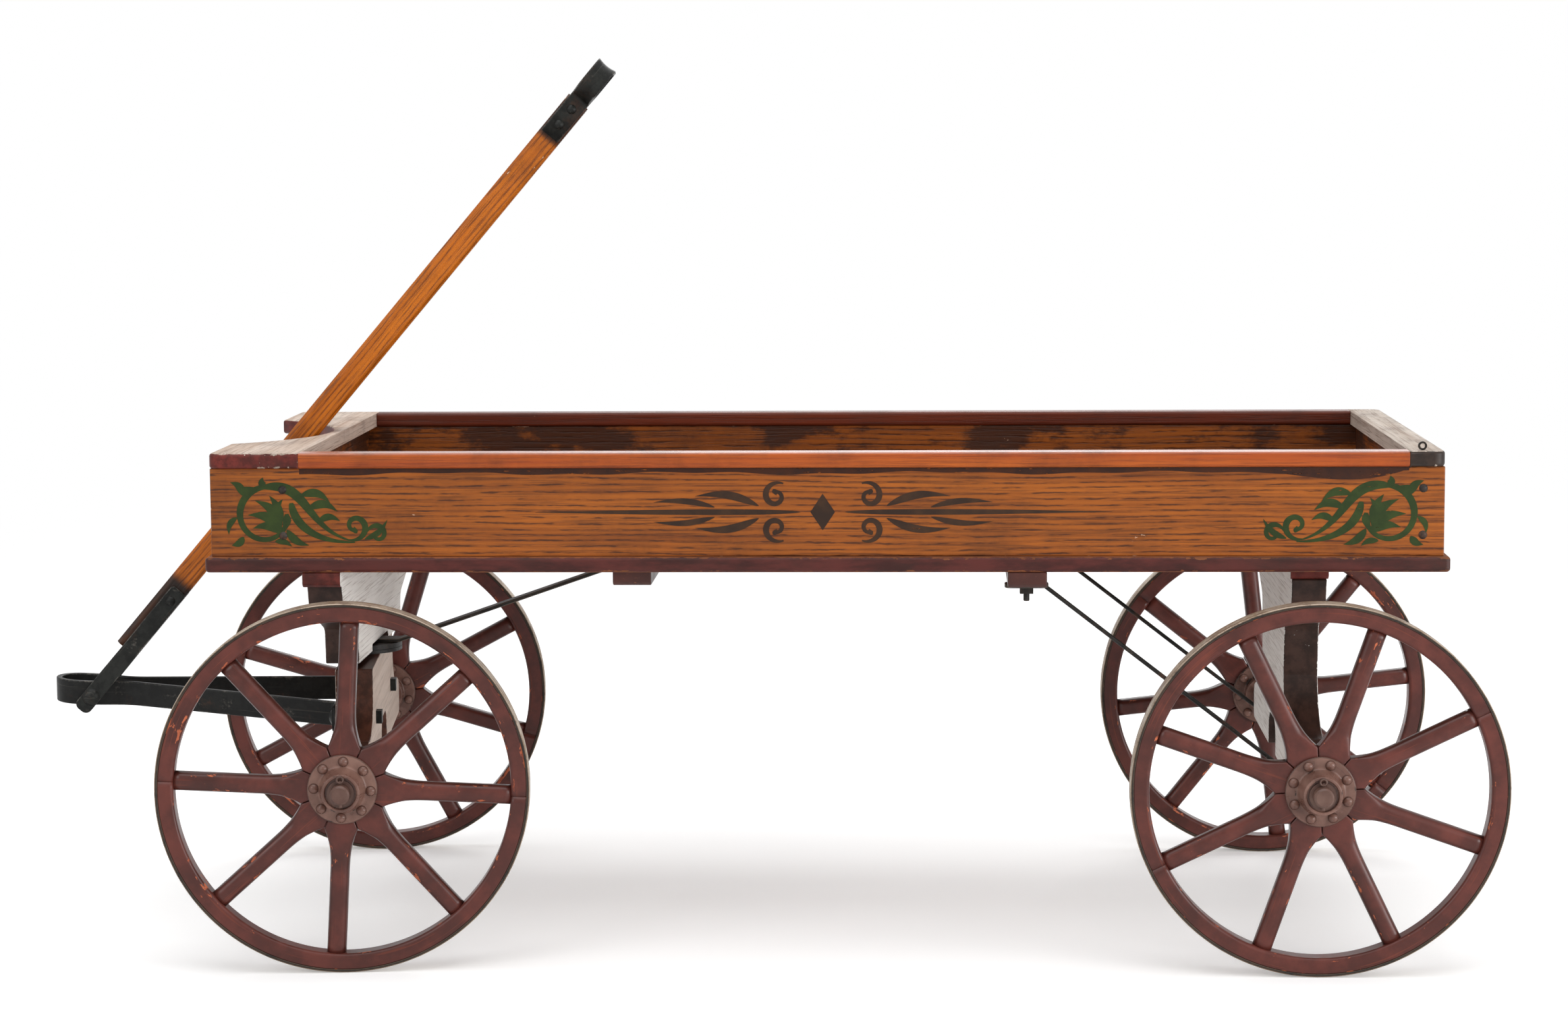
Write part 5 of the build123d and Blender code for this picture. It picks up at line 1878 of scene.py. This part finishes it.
    def grip(self) -> None:
        """Build the grip: a strip bent to a stirrup, dished across its outer bar.

        The outer bar is dished by moving each point in towards the handle by a parabola across the strip's
        width. The section has more points across its broad faces for that, all in the order of their angles.
        """
        seat, face = (self.bar_width + self.grip_thickness) / 2, self.grip_thickness / 2
        runs = (self.grip_start, self.grip_neck, self.grip_flare, self.grip_bar)
        half = list(zip(runs, (seat, seat, self.grip_half, self.grip_half)))
        path, _ = rounded(*mirrored(half, self.grip_rounds, 1), closed=False, steps=10)
        section, bend = bar_section(self.grip_thickness, self.grip_width, self.grip_edge)
        across = np.linspace(-1.0, 1.0, 9)[1:-1] * (self.grip_width / 2 - self.grip_flat)
        faces = [np.stack([np.full(len(across), x), across], axis=1) for x in (face, -face)]
        section = np.concatenate([section, *faces])
        bend = np.concatenate([bend, np.zeros(2 * len(across))])
        order = np.argsort(np.arctan2(section[:, 1] / self.grip_width, section[:, 0] / self.grip_thickness))
        made = strip(path, section[order], bend[order], WORLD)
        on_bar = np.clip((made.points[:, 0] - self.grip_bar) / self.hollow_lead + 1.0, 0.0, 1.0)
        dish = self.grip_hollow * (1.0 - (2.0 * made.points[:, 2] / self.grip_width) ** 2) * on_bar
        surface = replace(made, points=made.points - dish[:, None] * WORLD.x).placed(self.raised)
        self.piece("grip_stirrup", surface, BLACK_IRON, "grip_loop")

    def rivets(self) -> None:
        """Build a domed rivet head at each end of the rivets through the straps and through the grip."""
        rows = [(self.axes, self.fork_rivet, self.fork_thickness)]
        rows += [(self.raised, place, self.grip_thickness) for place in self.grip_rivets]
        parts = []
        for base, place, thickness in rows:
            for side in (1.0, -1.0):
                seat = base.at(place, side * (self.bar_width / 2 + thickness), 0.0)
                head = Axes(seat, base.x, side * base.z, side * base.y)
                parts.append(dome(self.rivet_head, self.rivet_dome, head))
        self.piece("handle_rivet_heads", Surface.joined(parts), RIVET_IRON, "handle_rivets")


@dataclass
class ArtilleryWheel(Assembly):
    """A wheel with a steel tyre, a two-piece felloe and wedge-footed spokes between riveted flanges."""

    body: str
    turn: float
    radius: float = 152.4
    tyre_thickness: float = 2.8
    tyre_width: float = 20.0
    tyre_crown: float = 0.25
    tyre_rounds: Sizes = (0.3, 1.1, 30.0, 1.1, 0.3)
    felloe_inner: float = 136.8
    felloe_width: float = 19.0
    felloe_cut: float = 0.4
    felloe_rounds: Sizes = (3.0, 0.6, 0.6, 3.0)
    spokes: int = 8
    spoke_thickness: float = 16.0
    spoke_thinning: float = 0.06
    spoke_half: float = 7.85
    spoke_start: float = 14.0
    spoke_end: float = 136.7
    spoke_gap: float = 0.3
    foot_reach: float = 33.3
    foot_power: float = 14.0
    shaft_power: float = 2.6
    rounding_reach: float = 16.0
    flare_end: float = 70.0
    flare_power: float = 2.6
    timber_shift: float = 173.0
    flange_radius: float = 28.5
    flange_thickness: float = 3.5
    nose_root: float = 18.6
    nose_rim: float = 15.5
    nose_mouth: float = 12.8
    nose_length: float = 29.0
    cup_floor: float = 25.5
    outer_rounds: Sizes = (0.2, 0.4, 1.1, 2.5, 0.9, 0.9, 0.4, 0.4)
    bore: float = 8.0075
    barrel: float = 13.5
    inner_nose: float = 17.0
    inner_length: float = 22.0
    inner_rounds: Sizes = (0.2, 0.4, 0.9, 1.5, 1.1, 0.4, 0.4, 0.2)
    rivet_circle: float = 23.1
    rivet_head: float = 4.3
    rivet_dome: float = 3.2

    @cached_property
    def axes(self) -> Axes:
        """Place the wheel's axes on its axle.

        Returns:
            X at the wheel's own turn, Z along the axle and out of the wagon.
        """
        place, along, outward = axle_end(self.body)
        level = np.cross(along, UP)
        rise = np.cross(outward, level)
        cosine, sine = math.cos(math.radians(self.turn)), math.sin(math.radians(self.turn))
        return Axes(place, cosine * level + sine * rise, cosine * rise - sine * level, outward)

    def build(self) -> None:
        """Build the wheel from its tyre inwards."""
        self.tyre()
        self.felloe()
        self.spoke_set()
        self.hub()
        self.rivets()

    def part(self, name: str, surface: Surface, finish: Finish, node: str) -> None:
        """Build one piece from a surface in the wheel's axes, with the wheel's name before its own."""
        self.piece(f"{self.body}_{name}", surface.placed(self.axes), finish, f"{self.body}_{node}")

    def tyre(self) -> None:
        """Build the tyre: a flat hoop with worn round edges and a slight crown."""
        inner, half = self.radius - self.tyre_thickness, self.tyre_width / 2
        crown = self.radius - self.tyre_crown
        corners = [(inner, -half), (crown, -half), (self.radius, 0.0), (crown, half), (inner, half)]
        surface = lathe(*rounded(corners, self.tyre_rounds, steps=4), 160, closed=True)
        edge = np.where(surface.zone > 0.5, 0.35 + 0.4 * surface.edge, surface.edge)
        self.part("hoop", replace(surface, edge=edge), TYRE, "tyre")

    def felloe(self) -> None:
        """Build the two halves of the felloe, rounded towards the spokes, with a saw cut between them."""
        outer, half = self.radius - self.tyre_thickness, self.felloe_width / 2
        corners = rectangle((self.felloe_inner, -half), (outer, half))
        profile, bend = rounded(corners, self.felloe_rounds, steps=4)
        cut = math.degrees(self.felloe_cut / 2 / self.radius)
        halves = [
            lathe(profile, bend, 80, closed=True, start=start + cut, finish=start + 180.0 - cut)
            for start in (0.0, 180.0)
        ]
        self.part("felloes", Surface.joined(halves), WHEEL_WOOD, "felloe")

    def spoke(self) -> Surface:
        """Make one spoke along local X.

        Its half width grows with the distance from the hub in the wedge foot, falls off as a power of it in
        the flare and is steady along the shaft. The section is a superellipse of that half width, nearly
        square at the foot and rounder from the flare on. Its flanks are the zone darkened as painted shade.

        Returns:
            The closed surface in the wheel's axes.
        """
        foot = np.linspace(self.spoke_start, self.foot_reach, 8)
        flare = np.linspace(self.foot_reach, self.flare_end, 16)[1:]
        reach = np.concatenate([foot, flare, np.linspace(self.flare_end, self.spoke_end, 14)[1:]])[:, None]
        wedge = math.pi / self.spokes
        widest = np.minimum(reach, self.foot_reach) * math.tan(wedge) - self.spoke_gap / 2 / math.cos(wedge)
        left = np.clip((self.flare_end - reach) / (self.flare_end - self.foot_reach), 0.0, 1.0)
        half_width = self.spoke_half + (widest - self.spoke_half) * left**self.flare_power
        half_depth = self.spoke_thickness / 2 * (1.0 - self.spoke_thinning * (1.0 - left))
        beyond = np.clip((reach - self.foot_reach) / self.rounding_reach, 0.0, 1.0) ** 0.5
        power = 2.0 / (self.foot_power + (self.shaft_power - self.foot_power) * beyond)
        angle = np.linspace(0.0, 2.0 * np.pi, 40, endpoint=False) + 0.01
        cosine, sine = np.cos(angle), np.sin(angle)
        across = half_width * np.sign(cosine) * np.abs(cosine) ** power
        through = half_depth * np.sign(sine) * np.abs(sine) ** power
        points = np.dstack([np.broadcast_to(reach, across.shape), across, through])
        arris = np.clip(np.abs(2.0 * sine * cosine) * 1.6 - 0.7, 0.0, 1.0)
        # The zone is highest on the flanks, which the paint darkens as painted shade.
        return Surface.grid(points, arris, 0.5 + 0.5 * cosine**2, points)

    def spoke_set(self) -> None:
        """Build all the spokes, each turned by its share of the circle and cut from other timber."""
        one = self.spoke()
        parts = []
        for number in range(self.spokes):
            angle = 2.0 * math.pi * number / self.spokes
            x = math.cos(angle) * WORLD.x + math.sin(angle) * WORLD.y
            turned = Axes(np.zeros(3), x, np.cross(UP, x), UP)
            parts.append(one.other_timber(self.timber_shift * number).placed(turned))
        self.part("spoke_set", Surface.joined(parts), WHEEL_WOOD, "spokes")

    def hub(self) -> None:
        """Build the outer flange with its cupped nose, and the inner flange with its barrel."""
        face = self.spoke_thickness / 2
        flange = face + self.flange_thickness
        rim, nose, back = self.flange_radius, self.nose_length, -self.inner_length
        outer = [
            (self.bore, face), (rim, face), (rim, flange), (self.nose_root, flange), (self.nose_rim, nose),
            (self.nose_mouth, nose), (self.nose_mouth, self.cup_floor), (self.bore, self.cup_floor),
        ]
        inner = [
            (self.bore, face), (self.bore, back), (self.inner_nose, back), (self.inner_nose, -flange),
            (rim, -flange), (rim, -face), (self.barrel, -face), (self.barrel, face),
        ]
        for name, corners, rounds, node in (
            ("nose_flange", outer, self.outer_rounds, "hub_outer"),
            ("back_flange", inner, self.inner_rounds, "hub_inner"),
        ):
            self.part(name, lathe(*rounded(corners, rounds), closed=True), HUB_PAINT, node)

    def rivets(self) -> None:
        """Build a domed rivet head over every spoke's foot, on both flanges."""
        flange = self.spoke_thickness / 2 + self.flange_thickness
        parts = []
        for number in range(self.spokes):
            angle = 2.0 * math.pi * number / self.spokes
            place = self.rivet_circle * (math.cos(angle) * WORLD.x + math.sin(angle) * WORLD.y)
            for side in (1.0, -1.0):
                head = Axes(place + side * flange * UP, WORLD.x, side * WORLD.y, side * UP)
                parts.append(dome(self.rivet_head, self.rivet_dome, head, 20))
        self.part("rivet_heads", Surface.joined(parts), HUB_PAINT, "hub_rivets")


@dataclass(frozen=True)
class SoftBox:
    """A square lamp: its place, what it aims at, its size and its power in watts."""

    name: str
    place: tuple[float, float, float]
    aim: tuple[float, float, float]
    size: float
    power: float


SOFT_BOXES = (
    SoftBox("overhead", (0.0, -400.0, 3000.0), (0.0, 0.0, 200.0), 3200.0, 76.0),
    SoftBox("front_left", (-2300.0, -3000.0, 1900.0), (-100.0, 0.0, 250.0), 1900.0, 38.0),
    SoftBox("front_right", (2700.0, -2600.0, 950.0), (0.0, 0.0, 250.0), 1700.0, 36.0),
    SoftBox("right_side", (2500.0, -1250.0, 430.0), (-250.0, -50.0, 250.0), 1000.0, 26.0),
    SoftBox("behind", (300.0, 2600.0, 2000.0), (0.0, 0.0, 250.0), 1700.0, 26.0),
)


@dataclass
class Studio:
    """A white sweep under soft lights, seen from the photograph's place."""

    eye: tuple[float, float, float] = (155.7, -2957.8, 683.0)
    yaw: float = -0.0445
    pitch: float = 0.1114
    roll: float = -0.0062
    focal_pixels: float = 5166.6
    image_width: float = 2380.0
    sensor: float = 36.0
    sweep_half: float = 6000.0
    sweep_front: float = -7000.0
    sweep_back: float = 3200.0
    sweep_round: float = 1500.0
    sweep_top: float = 5000.0
    paper_white: Colour = (0.86, 0.86, 0.86)
    ambient: float = 0.22
    floor_glow: float = 0.30
    white_from: float = 1.2
    white_full: float = 2.6

    def build(self) -> None:
        """Set up the backdrop, the lights, the world and the camera."""
        self.backdrop()
        self.lights()
        self.world()
        self.camera()
        bpy.context.scene.view_settings.view_transform = "Standard"

    def backdrop(self) -> None:
        """Build the sweep: a flat floor that rounds up into a wall, its profile carried along X."""
        corners = [(self.sweep_front, 0.0), (self.sweep_back, 0.0), (self.sweep_back, self.sweep_top)]
        profile, _ = rounded(corners, self.sweep_round, closed=False, steps=24)
        points = np.empty((2, len(profile), 3))
        points[..., 0] = [[-self.sweep_half], [self.sweep_half]]
        points[..., 1:] = profile
        faces = grid_faces(2, len(profile)).tolist()
        mesh = smooth_mesh("studio_sweep", points.reshape(-1, 3), faces, self.paper())
        linked("studio_sweep", mesh)

    @staticmethod
    def rays(graph: Graph) -> list[Value]:
        """Return what is 1 to the camera's rays, to reflected rays and to rays that have passed through."""
        path = graph.node("ShaderNodeLightPath").outputs
        return [Value(graph, path[f"Is {kind} Ray"]) for kind in ("Camera", "Glossy", "Transmission")]

    def paper(self) -> Material:
        """Return the sweep's matt white paper.

        It glows a little to the camera, so that it reads as white, is plain white away from the wagon, and is
        clear to a camera behind it or below.

        Returns:
            The material.
        """
        material = bpy.data.materials.new("white_paper")
        graph = Graph.cleared(material)
        camera, glossy, through = self.rays(graph)
        seen = camera | glossy | through
        place = graph.value("ShaderNodeTexCoord", output="Object")
        away = graph.value("ShaderNodeVectorMath", {0: place}, "Value", operation="LENGTH")
        matt = graph.value("ShaderNodeBsdfDiffuse", {"Color": self.paper_white})
        glow = graph.value("ShaderNodeEmission", {"Strength": seen * self.floor_glow})
        near = graph.value("ShaderNodeAddShader", {0: matt, 1: glow})
        white = graph.value("ShaderNodeEmission")
        blank = seen * away.step(self.white_from, self.white_full)
        paper = graph.value("ShaderNodeMixShader", {0: blank, 1: near, 2: white})
        behind = graph.value("ShaderNodeNewGeometry", output="Backfacing") * camera
        clear = graph.value("ShaderNodeBsdfTransparent")
        whole = graph.value("ShaderNodeMixShader", {0: behind, 1: paper, 2: clear})
        graph.node("ShaderNodeOutputMaterial", {"Surface": whole})
        return material

    @staticmethod
    def stand(made: Object, place: Sequence[float], turn: Sequence[Array]) -> None:
        """Stand a lamp or the camera at a place, with its right, its top and its back turned as given."""
        rows = np.column_stack([*turn, np.array(place) * MM])
        made.matrix_world = Matrix([*rows.tolist(), (0.0, 0.0, 0.0, 1.0)])

    def lights(self) -> None:
        """Hang five soft boxes: a broad one overhead, two in front, one on the right and one behind."""
        for row in SOFT_BOXES:
            light = bpy.data.lights.new(row.name, "AREA")
            light.shape, light.size, light.energy = "SQUARE", row.size * MM, row.power
            back = unit(np.array(row.place) - np.array(row.aim))
            side = unit(np.cross(UP, back)) if abs(back[2]) < 0.99 else WORLD.x
            lamp = linked(row.name, light)
            lamp.visible_camera = False
            self.stand(lamp, row.place, (side, np.cross(back, side), back))

    def world(self) -> None:
        """Light from all round, and white wherever the camera or a reflection sees past the sweep."""
        world = bpy.data.worlds.new("studio_world")
        bpy.context.scene.world = world
        graph = Graph.cleared(world)
        camera, glossy, through = self.rays(graph)
        strength = (camera | glossy | through).span(self.ambient, 1.0)
        sky = graph.value("ShaderNodeBackground", {"Color": (1.0, 1.0, 1.0), "Strength": strength})
        graph.node("ShaderNodeOutputWorld", {"Surface": sky})

    def camera(self) -> None:
        """Stand the camera at the photograph's place, with its yaw, pitch, roll and focal length."""
        level = np.array((math.cos(self.yaw), -math.sin(self.yaw), 0.0))
        ahead = np.array((math.sin(self.yaw), math.cos(self.yaw), 0.0))
        forward = math.cos(self.pitch) * ahead - math.sin(self.pitch) * UP
        rise = np.cross(level, forward)
        right = math.cos(self.roll) * level + math.sin(self.roll) * rise
        top = math.cos(self.roll) * rise - math.sin(self.roll) * level
        lens = bpy.data.cameras.new("photograph")
        lens.sensor_fit, lens.sensor_width = "HORIZONTAL", self.sensor
        lens.lens = self.focal_pixels / self.image_width * self.sensor
        view = linked("photograph", lens)
        self.stand(view, self.eye, (right, top, -forward))
        bpy.context.scene.camera = view


WHEEL_TURNS = {
    "front_left_wheel": -3.3,
    "front_right_wheel": 17.2,
    "rear_left_wheel": 25.8,
    "rear_right_wheel": 38.5,
}


def main() -> None:
    logging.basicConfig(level=logging.INFO, format="%(name)s: %(message)s")
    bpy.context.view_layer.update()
    WagonBox().build()
    Undercarriage().build()
    FrontGear().build()
    DrawHandle().build()
    for body, turn in WHEEL_TURNS.items():
        ArtilleryWheel(body, turn).build()
    Studio().build()


if __name__ == "__main__":
    main()
